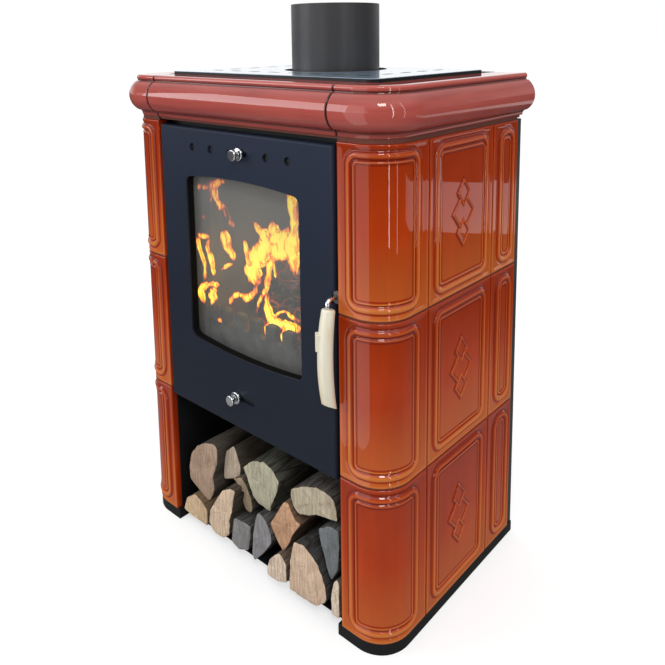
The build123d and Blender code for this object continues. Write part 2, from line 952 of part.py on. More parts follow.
for kind, tile_solid in tile_kinds.items():
    for course, course_name in enumerate(course_names):
        with BuildPart() as right_tile:
            with Locations((0, 0, course * tile_pitch)):
                add(tile_solid)
        finish(right_tile, f"tile_{kind}_{course_name}_right")
        with BuildPart() as left_tile:
            mirror(right_tile.part, about=Plane.YZ)
        finish(left_tile, f"tile_{kind}_{course_name}_left")

# Upright rails between the side walls and the tiles
rail_face = side_x - tile_rim
rail_depths = (
    corner_tile_depth + tile_joint / 2,
    narrow_tile_start - tile_joint / 2,
    tiles_end - rail_width / 2,
)

with BuildPart() as tile_rails:
    for depth in rail_depths:
        add(
            block(
                rail_face - rail_sheet,
                rail_face,
                depth - rail_width / 2,
                depth + rail_width / 2,
                plinth_height,
                ring_bottom,
            )
        )
        add(
            block(
                wall_outer,
                rail_face,
                depth - rail_sheet / 2,
                depth + rail_sheet / 2,
                plinth_height,
                ring_bottom,
            )
        )
    mirror(about=Plane.YZ)
finish(tile_rails, "tile_rails")

# ---------------------------------------------------------------- back panel

flange_start = tiles_end + back_flange_gap
back_half_width = side_x - back_inset
back_top = ring_bottom - back_inset
low_slots_height = plinth_height + store_height / 2
high_slots_height = (back_top + shell_bottom + store_height) / 2

with BuildPart() as back_panel:
    with BuildSketch(Plane.XY.offset(plinth_height)):
        with BuildLine():
            Polyline(
                (-back_half_width, at_depth(flange_start)),
                (-back_half_width, rear_y),
                (back_half_width, rear_y),
                (back_half_width, at_depth(flange_start)),
                (back_half_width - back_sheet, at_depth(flange_start)),
                (back_half_width - back_sheet, at_depth(wall_rear)),
                (back_sheet - back_half_width, at_depth(wall_rear)),
                (back_sheet - back_half_width, at_depth(flange_start)),
                close=True,
            )
        make_face()
    extrude(amount=back_top - plinth_height)
    add(block(-deck_half_width, deck_half_width, wall_rear, body_depth, back_top, cornice_top))
    with BuildSketch(front_plane(body_depth)):
        for height in (low_slots_height, high_slots_height):
            with Locations((0, height)):
                with GridLocations(back_slot_spacing, back_slot_pitch, back_slot_columns, back_slot_rows):
                    SlotOverall(back_slot_length, back_slot_width)
    extrude(amount=back_sheet, mode=Mode.SUBTRACT)
finish(back_panel, "back_panel")

# ---------------------------------------------------------------- door


def window_outline(margin):
    """The barrel-shaped window: straight sides, bowed top and bottom, grown by a margin."""
    half_width = window_width / 2 + margin
    half_height = window_height / 2 + margin
    shoulder = half_height - window_bow
    with BuildSketch(Plane.XY) as outline:
        with BuildLine():
            Line((-half_width, -shoulder), (-half_width, shoulder))
            ThreePointArc((-half_width, shoulder), (0, half_height), (half_width, shoulder))
            Line((half_width, shoulder), (half_width, -shoulder))
            ThreePointArc((half_width, -shoulder), (0, -half_height), (-half_width, -shoulder))
        make_face()
        fillet(outline.vertices(), window_corner)
    return outline.sketch


door_middle = (door_bottom + door_top) / 2
high_vents = [(sign * x, vent_height) for x in vent_spacings for sign in (-1, 1)]
slot_overall = knob_slot_travel + 2 * (knob_stem_radius + knob_slot_play)
slot_height = 2 * (knob_stem_radius + knob_slot_play)

with BuildPart() as door_panel:
    with BuildSketch(front_plane(door_return - door_proud)):
        with Locations((0, door_middle)):
            Rectangle(2 * door_half_width, door_height)
    extrude(amount=door_return)
    front_edges = door_panel.faces().sort_by(Axis.Y)[0].edges()
    fillet(front_edges, door_bend_radius)
    offset(amount=-door_sheet, openings=door_panel.faces().sort_by(Axis.Y)[-1])
    with BuildSketch(front_plane(door_back)):
        with Locations((0, window_centre_height)):
            add(window_outline(0))
        with Locations(*high_vents):
            Circle(vent_diameter / 2)
        with Locations((0, vent_height), (0, low_knob_height)):
            SlotOverall(slot_overall, slot_height)
    extrude(amount=door_sheet, mode=Mode.SUBTRACT)
    for height in hinge_heights:
        add(
            block(
                -door_half_width,
                hinge_x - hinge_barrel_radius,
                door_back,
                door_return,
                height - hinge_knuckle - running_gap,
                height + hinge_knuckle + running_gap,
            ),
            mode=Mode.SUBTRACT,
        )
    add(
        block(
            latch_x - latch_radius - knob_slot_play,
            opening_x,
            -door_proud - door_sheet,
            door_return,
            latch_height - latch_block_height / 2,
            latch_height + latch_block_height / 2,
        ),
        mode=Mode.SUBTRACT,
    )
finish(door_panel, "door_panel")

rope_middle = (rope_bottom + rope_top) / 2
rope_height = rope_top - rope_bottom
channel_width = rope_width + 2 * rope_channel_wall


def rope_ring(width):
    """A rectangular ring of the given width that follows the door seal."""
    with BuildSketch(Plane.XY) as ring:
        RectangleRounded(2 * rope_half_width + width, rope_height + width, window_corner + width / 2)
        RectangleRounded(
            2 * rope_half_width - width,
            rope_height - width,
            window_corner - width / 2,
            mode=Mode.SUBTRACT,
        )
    return ring.sketch


rope_seat = frame_depth - running_gap
channel_depth = rope_seat - rope_proud

with BuildPart() as door_lining:
    with BuildSketch(front_plane(channel_depth)):
        with Locations((0, rope_middle)):
            add(rope_ring(channel_width))
    extrude(amount=channel_depth - door_back)
    with BuildSketch(front_plane(channel_depth)):
        with Locations((0, rope_middle)):
            add(rope_ring(rope_width))
    extrude(amount=channel_depth - rope_seat_depth, mode=Mode.SUBTRACT)
    with BuildSketch(front_plane(door_back + lining_depth)):
        with Locations((0, window_centre_height)):
            add(window_outline(lining_width))
            add(window_outline(0), mode=Mode.SUBTRACT)
    extrude(amount=lining_depth)
finish(door_lining, "door_lining")

with BuildPart() as door_rope_seal:
    with BuildSketch(front_plane(rope_seat)):
        with Locations((0, rope_middle)):
            add(rope_ring(rope_width))
    extrude(amount=rope_seat - rope_seat_depth)
finish(door_rope_seal, "door_rope_seal")

gasket_front = door_back + lining_depth
glass_front = gasket_front + gasket_thickness
glass_back = glass_front + glass_thickness
glass_overlap = 12.0

with BuildPart() as glass_seal:
    with BuildSketch(front_plane(glass_front)):
        with Locations((0, window_centre_height)):
            add(window_outline(glass_overlap))
            add(window_outline(0), mode=Mode.SUBTRACT)
    extrude(amount=gasket_thickness)
finish(glass_seal, "glass_seal")

with BuildPart() as window_glass:
    with BuildSketch(front_plane(glass_back)):
        with Locations((0, window_centre_height)):
            add(window_outline(glass_overlap))
    extrude(amount=glass_thickness)
finish(window_glass, "window_glass")

clip_length = 24.0
clip_sheet = 2.0
clip_reach = 8.0
clip_inset = 40.0
clip_height = window_height / 2 - clip_inset

with BuildPart() as glass_clips:
    for sign in (-1, 1):
        clip_outer = window_width / 2 + lining_width
        clip_glass = window_width / 2 + glass_overlap
        height = window_centre_height + sign * clip_height
        add(
            block(
                clip_outer - clip_reach,
                clip_outer,
                glass_back,
                glass_back + clip_sheet,
                height,
                height + clip_length,
            )
        )
        add(
            block(
                clip_glass + running_gap,
                clip_outer,
                gasket_front,
                glass_back,
                height,
                height + clip_length,
            )
        )
    mirror(about=Plane.YZ)
finish(glass_clips, "glass_clips")

# Hinges: the fixed knuckle is below, the knuckle of the door sits on it


def upright_cylinder(radius, z_low, z_high):
    """A round bar on the hinge axis."""
    return Pos(hinge_x, hinge_y, (z_low + z_high) / 2) * Cylinder(radius, z_high - z_low, mode=Mode.PRIVATE)


hinge_bore = hinge_pin_radius + hinge_bore_clearance

with BuildPart() as hinge_brackets:
    for height in hinge_heights:
        add(upright_cylinder(hinge_barrel_radius, height - hinge_knuckle, height))
        add(
            block(
                hinge_x,
                hinge_x + hinge_arm_width,
                hinge_depth,
                frame_depth,
                height - hinge_knuckle,
                height,
            )
        )
        add(upright_cylinder(hinge_pin_radius, height - hinge_knuckle, height), mode=Mode.SUBTRACT)
finish(hinge_brackets, "hinge_brackets")

pin_head = 2.0

with BuildPart() as hinge_pins:
    for height in hinge_heights:
        add(upright_cylinder(hinge_pin_radius, height - hinge_knuckle - pin_head, height + hinge_knuckle))
        add(upright_cylinder(hinge_barrel_radius, height - hinge_knuckle - pin_head, height - hinge_knuckle))
finish(hinge_pins, "hinge_pins")

leaf_end = -rope_half_width - channel_width / 2 - running_gap

with BuildPart() as hinge_leaves:
    for height in hinge_heights:
        low = height + running_gap
        high = height + hinge_knuckle
        add(upright_cylinder(hinge_barrel_radius, low, high))
        add(block(hinge_x, leaf_end, door_back, door_back + door_sheet, low, high))
        add(upright_cylinder(hinge_bore, low, high), mode=Mode.SUBTRACT)
finish(hinge_leaves, "hinge_leaves")

# ---------------------------------------------------------------- air slides

slide_front = door_back + running_gap
slide_back = slide_front + slide_thickness


def slide_plate(half_length, height, knob_x, holes):
    """A sliding plate behind the door panel, with its air holes."""
    with BuildPart() as plate:
        with BuildSketch(front_plane(slide_back)):
            with Locations((knob_x, height)):
                Rectangle(2 * half_length, slide_height)
            if holes:
                with Locations(*holes):
                    Circle(vent_diameter / 2, mode=Mode.SUBTRACT)
        extrude(amount=slide_thickness)
    return plate


def knob(knob_x, height):
    """A turned two-disc knob on its stem, which passes through the slot in the door."""
    base = knob_base_disc
    edge = knob_edge
    disc_start = knob_length - knob_disc
    stem_end = -(slide_front + door_proud + running_gap)
    seat = (knob_x, at_depth(-door_proud - running_gap), height)
    with BuildPart() as turned:
        with BuildSketch(Plane(origin=seat, x_dir=(0, -1, 0), z_dir=(1, 0, 0))):
            with BuildLine():
                Polyline(
                    (stem_end, 0),
                    (stem_end, knob_stem_radius),
                    (0, knob_stem_radius),
                    (0, knob_base_radius - edge),
                    (edge, knob_base_radius),
                    (base - edge, knob_base_radius),
                    (base, knob_base_radius - edge),
                    (base + edge, knob_waist_radius),
                    (disc_start - edge, knob_waist_radius),
                    (disc_start, knob_face_radius - edge),
                    (disc_start + edge, knob_face_radius),
                    (knob_length - edge, knob_face_radius),
                    (knob_length, knob_face_radius - edge),
                    (knob_length, 0),
                    close=True,
                )
            make_face()
        revolve(axis=Axis((knob_x, 0, height), (0, 1, 0)))
    return turned


slide_holes = [(x - vent_shut_offset + high_knob_x, z) for x, z in high_vents]
high_air_slide = slide_plate(slide_half_length, vent_height, high_knob_x, slide_holes)
finish(high_air_slide, "high_air_slide")
low_air_slide = slide_plate(low_slide_half_length, low_knob_height, low_knob_x, [])
finish(low_air_slide, "low_air_slide")
finish(knob(high_knob_x, vent_height), "high_air_knob")
finish(knob(low_knob_x, low_knob_height), "low_air_knob")

guide_edge = slide_height / 2 + running_gap
guide_rear = slide_back + running_gap
slide_places = ((vent_height, slide_half_length), (low_knob_height, low_slide_half_length))

with BuildPart() as slide_guides:
    for height, half_length in slide_places:
        for sign in (-1, 1):
            strip = height + sign * (guide_edge + guide_lip / 2)
            lip = height + sign * guide_edge
            add(
                block(
                    -half_length,
                    half_length,
                    door_back,
                    guide_rear,
                    strip - guide_lip / 2,
                    strip + guide_lip / 2,
                )
            )
            add(
                block(
                    -half_length,
                    half_length,
                    guide_rear,
                    guide_rear + guide_lip_thickness,
                    lip - guide_lip,
                    lip + guide_lip,
                )
            )
finish(slide_guides, "slide_guides")

# ---------------------------------------------------------------- latch lever and grip

block_front = door_back
block_back = latch_rear_depth - cam_thickness - running_gap

with BuildPart() as latch_bearing:
    add(
        block(
            latch_block_left,
            latch_block_right,
            block_front,
            block_back,
            latch_height - latch_block_height / 2 + running_gap,
            latch_height + latch_block_height / 2 - running_gap,
        )
    )
    with BuildSketch(front_plane(block_back)):
        with Locations((latch_x, latch_height)):
            Circle(latch_radius + latch_clearance)
    extrude(amount=block_back - block_front, mode=Mode.SUBTRACT)
finish(latch_bearing, "latch_bearing")

grip_seat = grip_top - grip_bore_length

with BuildPart() as latch_lever:
    with BuildLine() as lever_path:
        FilletPolyline(
            (latch_x, at_depth(latch_rear_depth), latch_height),
            (latch_x, at_depth(-grip_depth_top), latch_height),
            (grip_x, at_depth(-grip_depth_top), grip_seat),
            radius=latch_bend,
        )
    with BuildSketch(Plane(origin=lever_path.wire() @ 0, z_dir=lever_path.wire() % 0)):
        Circle(latch_radius)
    sweep(path=lever_path.wire())
    add(
        block(
            latch_x - cam_reach,
            latch_x,
            latch_rear_depth - cam_thickness,
            latch_rear_depth,
            latch_height - cam_width / 2,
            latch_height + cam_width / 2,
        )
    )
finish(latch_lever, "latch_lever")

grip_middle = (grip_top + grip_bottom) / 2

with BuildLine() as grip_line:
    ThreePointArc(
        (grip_x, at_depth(-grip_depth_top), grip_top),
        (grip_x, at_depth(-grip_depth_middle), grip_middle),
        (grip_x, at_depth(-grip_depth_end), grip_bottom),
    )

with BuildPart() as thumb_rest:
    with Locations(Location(grip_line.edge() @ thumb_rest_along, (0, 0, thumb_rest_turn))):
        Box(
            thumb_rest_width,
            grip_radius + thumb_rest_rise,
            thumb_rest_height,
            align=(Align.CENTER, Align.MAX, Align.CENTER),
        )
    fillet(thumb_rest.edges(), thumb_rest_edge)

slant = math.radians(grip_end_slant)
grip_heel = (grip_x, at_depth(grip_end_radius - grip_depth_end), grip_bottom)

with BuildPart() as handle_grip:
    for place, radius in ((0, grip_end_radius), (0.5, grip_radius), (1, grip_end_radius)):
        with BuildSketch(Plane(origin=grip_line.edge() @ place, z_dir=grip_line.edge() % place)):
            Circle(radius)
    loft()
    fillet(handle_grip.faces().sort_by(Axis.Z)[-1].edges(), grip_end_edge)
    split(bisect_by=Plane(origin=grip_heel, z_dir=(0, math.sin(slant), math.cos(slant))))
    fillet(handle_grip.faces().sort_by(Axis.Z)[0].edges(), grip_toe_edge)
    add(thumb_rest.part)
    bore_end = Vector(grip_x, at_depth(-grip_depth_top), grip_seat)
    bend_corner = Vector(latch_x, at_depth(-grip_depth_top), latch_height)
    with BuildSketch(Plane(origin=bore_end, z_dir=bend_corner - bore_end)):
        Circle(latch_radius)
    extrude(amount=(bend_corner - bore_end).length, mode=Mode.SUBTRACT)
finish(handle_grip, "handle_grip")

with BuildPart() as strike_plate:
    add(
        block(
            latch_x - cam_reach,
            latch_x,
            latch_rear_depth + running_gap,
            frame_depth,
            latch_height - cam_width,
            latch_height + cam_width,
        )
    )
finish(strike_plate, "strike_plate")
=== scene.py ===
"""Looks of the tiled wood stove: glazed tiles and cornice, metalwork, fire, firewood and a plain stage."""

import math

import bmesh
import bpy
import numpy as np
from bpy.props import BoolProperty, FloatProperty, FloatVectorProperty, IntProperty, PointerProperty
from mathutils import Matrix, Vector, noise
from mathutils.geometry import tessellate_polygon


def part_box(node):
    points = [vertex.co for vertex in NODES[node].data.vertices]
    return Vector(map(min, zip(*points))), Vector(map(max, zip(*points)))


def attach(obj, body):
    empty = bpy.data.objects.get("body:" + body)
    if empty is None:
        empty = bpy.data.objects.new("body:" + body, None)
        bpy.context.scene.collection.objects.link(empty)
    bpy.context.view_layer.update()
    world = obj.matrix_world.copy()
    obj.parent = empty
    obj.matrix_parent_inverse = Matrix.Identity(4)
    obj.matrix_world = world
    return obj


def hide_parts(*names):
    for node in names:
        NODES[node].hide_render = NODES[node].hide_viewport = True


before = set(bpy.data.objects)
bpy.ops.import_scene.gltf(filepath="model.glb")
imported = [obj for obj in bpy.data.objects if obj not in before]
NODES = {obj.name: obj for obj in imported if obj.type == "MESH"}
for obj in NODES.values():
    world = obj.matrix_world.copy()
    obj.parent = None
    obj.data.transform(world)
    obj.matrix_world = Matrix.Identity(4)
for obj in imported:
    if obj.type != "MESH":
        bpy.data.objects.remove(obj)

bl_info = {
    "name": "Tiled stove",
    "version": (1, 0, 0),
    "blender": (4, 5, 0),
    "location": "3D Viewport > Sidebar > Stove",
    "description": "Dresses the tiled wood stove with its glazes, metalwork, fire, firewood and stage",
    "category": "Object",
}

MM = 0.001
PLINTH_LOW, PLINTH_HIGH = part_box("plinth")
SIDE = PLINTH_HIGH.x
FRONT = PLINTH_LOW.y
CORNER = 52 * MM
BEND = CORNER * math.pi / 2
TILE_RIM = 16 * MM
COURSES = ("low", "middle", "high")
AHEAD, ASIDE = (0.0, -1.0), (1.0, 0.0)


def at_depth(depth):
    """The Y of a point that lies so many millimetres behind the tile face."""
    return FRONT + depth * MM


# ---------------------------------------------------------------- settings


class StoveTiles(bpy.types.PropertyGroup):
    """Sizes and colours of the tiles and the cornice."""

    bead_rise: FloatProperty(
        name="Bead rise", description="How far the round bead stands out of a tile", default=2.7 * MM, unit="LENGTH"
    )
    bead_half_width: FloatProperty(
        name="Bead half width", description="Half the width of the round bead", default=4.9 * MM, unit="LENGTH"
    )
    ridge_rise: FloatProperty(
        name="Ridge rise", description="Height of the thin ridge inside the bead", default=1.3 * MM, unit="LENGTH"
    )
    ornament_rise: FloatProperty(
        name="Ornament rise", description="Height of the ornament's lines", default=2.7 * MM, unit="LENGTH"
    )
    edge_round: FloatProperty(
        name="Edge rounding", description="Radius of a tile's edges under the glaze", default=1.1 * MM, unit="LENGTH"
    )
    fine_step: FloatProperty(
        name="Fine step", description="Mesh step across the mouldings", default=1.1 * MM, unit="LENGTH"
    )
    coarse_step: FloatProperty(
        name="Coarse step", description="Mesh step on the plain field", default=3.4 * MM, unit="LENGTH"
    )
    body: FloatVectorProperty(
        name="Glaze", description="Glaze where it is of normal thickness", default=(0.49, 0.050, 0.0015),
        subtype="COLOR", min=0, max=1,
    )
    deep: FloatVectorProperty(
        name="Deep glaze", description="Glaze where it has run together", default=(0.24, 0.016, 0.001),
        subtype="COLOR", min=0, max=1,
    )
    thin: FloatVectorProperty(
        name="Thin glaze", description="Glaze on the crests, where it is thin", default=(0.64, 0.18, 0.035),
        subtype="COLOR", min=0, max=1,
    )
    cornice: FloatVectorProperty(
        name="Cornice glaze", description="Glaze of the cornice", default=(0.38, 0.076, 0.058),
        subtype="COLOR", min=0, max=1,
    )


class StoveMetal(bpy.types.PropertyGroup):
    """Colours of the metalwork and the grip."""

    door: FloatVectorProperty(
        name="Door paint", description="Satin paint of the door", default=(0.012, 0.016, 0.028), subtype="COLOR",
        min=0, max=1,
    )
    sheet: FloatVectorProperty(
        name="Sheet paint", description="Paint of plinth, store walls and air slides", default=(0.007, 0.0075, 0.009),
        subtype="COLOR", min=0, max=1,
    )
    # the pale blue of the top plate is a painted reflection of the sky on a dark plate
    plate: FloatVectorProperty(
        name="Top plate", description="Paint of the loose plate on top", default=(0.34, 0.47, 0.62), subtype="COLOR",
        min=0, max=1,
    )
    pipe: FloatVectorProperty(
        name="Flue pipe", description="Heat-proof paint of the pipe", default=(0.042, 0.042, 0.045),
        subtype="COLOR", min=0, max=1,
    )
    grip: FloatVectorProperty(
        name="Grip", description="Pale glaze of the door grip", default=(0.90, 0.85, 0.68), subtype="COLOR",
        min=0, max=1,
    )
    soften: FloatProperty(
        name="Edge softening", description="Width of the rounding on sheet edges", default=0.5 * MM, unit="LENGTH"
    )
    screw_pitch: FloatProperty(
        name="Screw pitch", description="Distance between screws round the back", default=118 * MM, unit="LENGTH"
    )
    screw_radius: FloatProperty(
        name="Screw head radius", description="Radius of a screw head on the back", default=3.4 * MM, unit="LENGTH"
    )


class StoveFire(bpy.types.PropertyGroup):
    """What burns in the firebox and what lies in the store."""

    show_fire: BoolProperty(name="Fire", description="Logs, embers and flames in the firebox", default=True)
    show_wood: BoolProperty(name="Firewood", description="Split logs in the store", default=True)
    glow: FloatProperty(name="Flame glow", description="Strength of the flames' own light", default=3.3, min=0)
    ember_count: IntProperty(name="Embers", description="Pieces in the ember bed", default=260, min=0)
    ember_size: FloatProperty(
        name="Ember size", description="Radius of a piece in the ember bed", default=7 * MM, unit="LENGTH"
    )


class StoveStage(bpy.types.PropertyGroup):
    """The light, the floor and the camera."""

    sky: FloatProperty(name="Sky", description="Strength of the even light from all round", default=0.62, min=0)
    key: FloatProperty(name="Key", description="Power of the lamp above on the right", default=26, unit="POWER")
    fill: FloatProperty(name="Fill", description="Power of the wide lamp on the left", default=30, unit="POWER")
    floor: FloatVectorProperty(
        name="Floor", description="Colour of the floor", default=(0.50, 0.50, 0.50), subtype="COLOR", min=0, max=1
    )
    lens: FloatProperty(name="Lens", description="Focal length on a 36 mm sensor, in mm", default=37.852)


class StoveSettings(bpy.types.PropertyGroup):
    """All settings of the stove."""

    tiles: PointerProperty(type=StoveTiles)
    metal: PointerProperty(type=StoveMetal)
    fire: PointerProperty(type=StoveFire)
    stage: PointerProperty(type=StoveStage)


def settings():
    return bpy.context.scene.stove


# ---------------------------------------------------------------- node graphs


class Wire:
    """A socket that takes part in ordinary sums."""

    def __init__(self, graph, socket):
        self.graph = graph
        self.socket = socket

    def calc(self, operation, *values, clamp=False):
        return self.graph.wire("ShaderNodeMath", dict(enumerate(values)), operation=operation, use_clamp=clamp)

    def clamped(self):
        return self.calc("ADD", self, 0.0, clamp=True)

    def step(self, low, high):
        """0 below low, 1 above high, smooth between."""
        limits = {"Value": self, "From Min": low, "From Max": high}
        return self.graph.wire("ShaderNodeMapRange", limits, interpolation_type="SMOOTHSTEP")


for sign, operation in {"add": "ADD", "sub": "SUBTRACT", "mul": "MULTIPLY", "pow": "POWER"}.items():
    setattr(Wire, f"__{sign}__", lambda self, other, operation=operation: self.calc(operation, self, other))
    setattr(Wire, f"__r{sign}__", lambda self, other, operation=operation: self.calc(operation, other, self))


class Graph:
    """A node tree in which one method makes every node."""

    def __init__(self, tree):
        self.tree = tree

    def node(self, kind, inputs=None, **choices):
        made = self.tree.nodes.new(kind)
        for name, value in choices.items():
            setattr(made, name, value)
        for name, value in (inputs or {}).items():
            self.feed(made.inputs[name], value)
        return made

    def wire(self, kind, inputs=None, output=0, **choices):
        """One output of a new node, ready for sums."""
        return Wire(self, self.node(kind, inputs, **choices).outputs[output])

    def feed(self, socket, value):
        if isinstance(value, Wire):
            value = value.socket
        if isinstance(value, bpy.types.NodeSocket):
            self.tree.links.new(value, socket)
        elif socket.type == "RGBA":
            socket.default_value = (*value[:3], 1)
        else:
            socket.default_value = value

    def rays(self):
        """Whether a ray is seen straight or through glass, and whether it is a reflection."""
        path = self.node("ShaderNodeLightPath").outputs
        seen = (Wire(self, path["Is Camera Ray"]) + Wire(self, path["Is Transmission Ray"])).clamped()
        return seen, Wire(self, path["Is Glossy Ray"])


class Finish(Graph):
    """A material whose pattern lies in object space."""

    def __init__(self, name, shader):
        self.material = bpy.data.materials.new(name)
        self.material.use_nodes = True
        super().__init__(self.material.node_tree)
        self.tree.nodes.clear()
        self.shader = self.node("ShaderNodeBsdfPrincipled", shader)
        self.output = self.node("ShaderNodeOutputMaterial", {"Surface": self.shader.outputs[0]})
        self.place = self.node("ShaderNodeTexCoord").outputs["Object"]

    def mapped(self, stretch):
        return self.wire("ShaderNodeMapping", {"Vector": self.place, "Scale": stretch})

    def noise(self, scale, detail=3.0, stretch=(1, 1, 1), distortion=0.0):
        kept = {"Scale": scale, "Detail": detail, "Distortion": distortion}
        return self.wire("ShaderNodeTexNoise", {"Vector": self.mapped(stretch), **kept})

    def cells(self, scale, feature="F1", stretch=(1, 1, 1)):
        kept = {"Vector": self.mapped(stretch), "Scale": scale}
        return self.wire("ShaderNodeTexVoronoi", kept, "Distance", feature=feature)

    def attribute(self, name, output="Fac"):
        return self.wire("ShaderNodeAttribute", None, output, attribute_name=name)

    def height(self):
        return self.wire("ShaderNodeSeparateXYZ", {0: self.place}, 2)

    def ramp(self, value, stops):
        made = self.node("ShaderNodeValToRGB", {0: value})
        elements = made.color_ramp.elements
        while len(elements) < len(stops):
            elements.new(0.5)
        for element, (place, colour) in zip(elements, stops):
            element.position = place
            element.color = (*colour, 1)
        return made.outputs[0]

    def mix(self, factor, first, second, blend="MIX"):
        colours = {0: factor, 6: first, 7: second}
        return self.wire("ShaderNodeMix", colours, 2, data_type="RGBA", blend_type=blend)

    def set(self, **values):
        """Feeds the shader's sockets; Base_Color stands for Base Color."""
        for name, value in values.items():
            self.feed(self.shader.inputs[name.replace("_", " ")], value)
        return self.material

    def skin(self, colour, rough, relief, strength, depth, **values):
        """Feeds colour, roughness and a relief so many millimetres deep."""
        bump = self.wire("ShaderNodeBump", {"Height": relief, "Strength": strength, "Distance": depth * MM})
        return self.set(Base_Color=colour, Roughness=rough, Normal=bump, **values)

    def surface(self, kind, first, second, share=None):
        """Joins two shaders as the material's surface."""
        joint = {0: first, 1: second} if share is None else {0: share, 1: first, 2: second}
        self.feed(self.output.inputs["Surface"], self.wire(kind, joint))


FINISHES = {}


def finish_named(name):
    """The material of that name, made on first use."""
    if name not in FINISHES:
        FINISHES[name] = MAKERS[name]()
    return FINISHES[name]


def shade(colour, factor):
    return tuple(min(1.0, c * factor) for c in colour)


def glaze(name, body, deep, thin, streak, wave, grain, ripple):
    """Transparent coloured glaze: light where thin on a crest, dark where it has run together, and lighter and darker
    where the relief attribute carries painted highlight and shade.
    """
    gloss = {"Specular IOR Level": 0.0, "Coat Weight": 1.0, "Coat Roughness": 0.02, "Coat IOR": 1.5}
    f = Finish(name, gloss)
    relief = f.attribute("relief")
    cloud = f.noise(7.0, 3.0)
    run = f.noise(1.0, 3.0, stretch=grain)
    speck = f.noise(420.0, 2.0)
    tone = (cloud * 0.7 + run * streak).step(0.25, 0.25 + 0.55 * (1 + streak))
    pooled = tuple(channel * part for channel, part in zip(body, (0.76, 0.62, 0.8)))
    colour = f.mix(tone, pooled, shade(body, 1.18))
    colour = f.mix((relief * 1.1).clamped(), colour, thin)
    colour = f.mix((relief * -1.15).clamped(), colour, deep)
    colour = f.mix(speck.step(0.66, 0.8) * 0.25, colour, deep)
    peel = f.noise(wave, 2.0) * 0.8 + f.noise(320.0, 1.0) * 0.05 + run * streak * 0.35
    return f.skin(colour, 0.35, peel, ripple, 1.4)


def tile_glaze():
    t = settings().tiles
    return glaze("tile_glaze", t.body, t.deep, t.thin, streak=0.4, wave=26.0, grain=(60, 60, 5), ripple=0.22)


def cornice_glaze():
    t = settings().tiles
    # lighter and darker copies of the cornice glaze; they show thin and pooled glaze and also the painted highlight and
    # shade of the cornice tones
    deep, thin = shade(t.cornice, 0.3), shade(t.cornice, 1.5)
    return glaze("cornice_glaze", t.cornice, deep, thin, streak=1.0, wave=30.0, grain=(9, 9, 150), ripple=0.38)


def paint(name, colour, roughness, grain, dust, gloss, scale=900.0, high=None):
    """Sprayed paint with a fine grain, faint clouds and a little dust; high is a lighter colour painted in towards the
    top, a painted highlight.
    """
    f = Finish(name, {"Specular IOR Level": gloss})
    cloud = f.noise(5.0, 4.0)
    fine = f.noise(scale, 2.0)
    base = f.mix(cloud, shade(colour, 0.82), shade(colour, 1.18))
    # painted highlight: towards the top the colour turns to high
    if high:
        base = f.mix(f.height().step(0.25, 0.8), base, high)
    base = f.mix(fine.step(0.58, 0.75) * dust, base, shade(colour, 2.2))
    rough = (cloud * 0.12 + fine * 0.10 + (roughness - 0.11)).clamped()
    relief = fine * 0.7 + f.noise(60.0, 2.0) * 0.3
    return f.skin(base, rough, relief, grain, 0.2)


def door_paint():
    low = settings().metal.door
    # painted highlight: the door paint is lighter and bluer towards the top, where more light falls
    high = tuple(channel * part for channel, part in zip(low, (1.45, 1.6, 1.7)))
    return paint("door_paint", low, 0.42, 0.35, dust=0.2, gloss=0.16, high=high)


def sheet_paint():
    return paint("sheet_paint", settings().metal.sheet, 0.5, 0.3, dust=0.12, gloss=0.3)


def back_sheet():
    """Stove-black back sheet, greyer where the heat has dried it."""
    return paint("back_sheet", (0.030, 0.031, 0.033), 0.45, 0.5, dust=0.3, gloss=0.5, scale=600.0)


def joint_putty():
    """Fireclay in the joints, stained by the glaze."""
    f = Finish("joint_putty", {})
    grain = f.noise(350.0, 4.0)
    base = f.mix(grain, (0.10, 0.022, 0.012), (0.20, 0.050, 0.028))
    return f.skin(base, grain * 0.1 + 0.8, grain, 0.5, 0.3)


def lining_black():
    """Dead black stove paint behind the glass, so dark that it also stands as a painted shadow of the strip round the
    window.
    """
    return paint("lining_black", (0.004, 0.004, 0.0045), 0.85, 0.4, dust=0.3, gloss=0.08)


def plate_paint():
    """Satin sheet, finely brushed, tanned by the heat round the flue; its pale blue-grey colour is a painted reflection
    of the sky.
    """
    f = Finish("plate_paint", {"Coat Weight": 1.0, "Coat Roughness": 0.14, "Metallic": 0.15})
    colour = settings().metal.plate
    brushed = f.noise(1.0, 4.0, stretch=(9, 420, 9))
    cloud = f.noise(6.0, 4.0)
    base = f.mix(brushed.step(0.3, 0.7), shade(colour, 0.84), shade(colour, 1.12))
    base = f.mix(cloud.step(0.35, 0.7) * 0.35, base, shade(colour, 0.7))
    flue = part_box("flue_pipe")
    centre = ((flue[0].x + flue[1].x) / 2, (flue[0].y + flue[1].y) / 2, flue[0].z)
    away = f.wire("ShaderNodeVectorMath", {0: f.place, 1: centre}, "Value", operation="DISTANCE")
    tan = (1 - (away + cloud * 0.05).step(0.09, 0.17)) * 0.5
    base = f.mix(tan, base, (0.20, 0.155, 0.115))
    return f.skin(base, brushed * 0.12 + 0.16, brushed, 0.12, 0.15)


def pipe_paint():
    """Heat-proof paint with faint upright rolling marks."""
    f = Finish("pipe_paint", {"Metallic": 0.15})
    colour = settings().metal.pipe
    streaks = f.noise(1.0, 4.0, stretch=(160, 160, 3))
    fine = f.noise(700.0, 2.0)
    base = f.mix(streaks.step(0.3, 0.7), shade(colour, 0.92), shade(colour, 1.10))
    base = f.mix(fine.step(0.6, 0.8) * 0.2, base, shade(colour, 2.0))
    return f.skin(base, streaks * 0.05 + fine * 0.06 + 0.38, fine + streaks * 0.5, 0.25, 0.15)


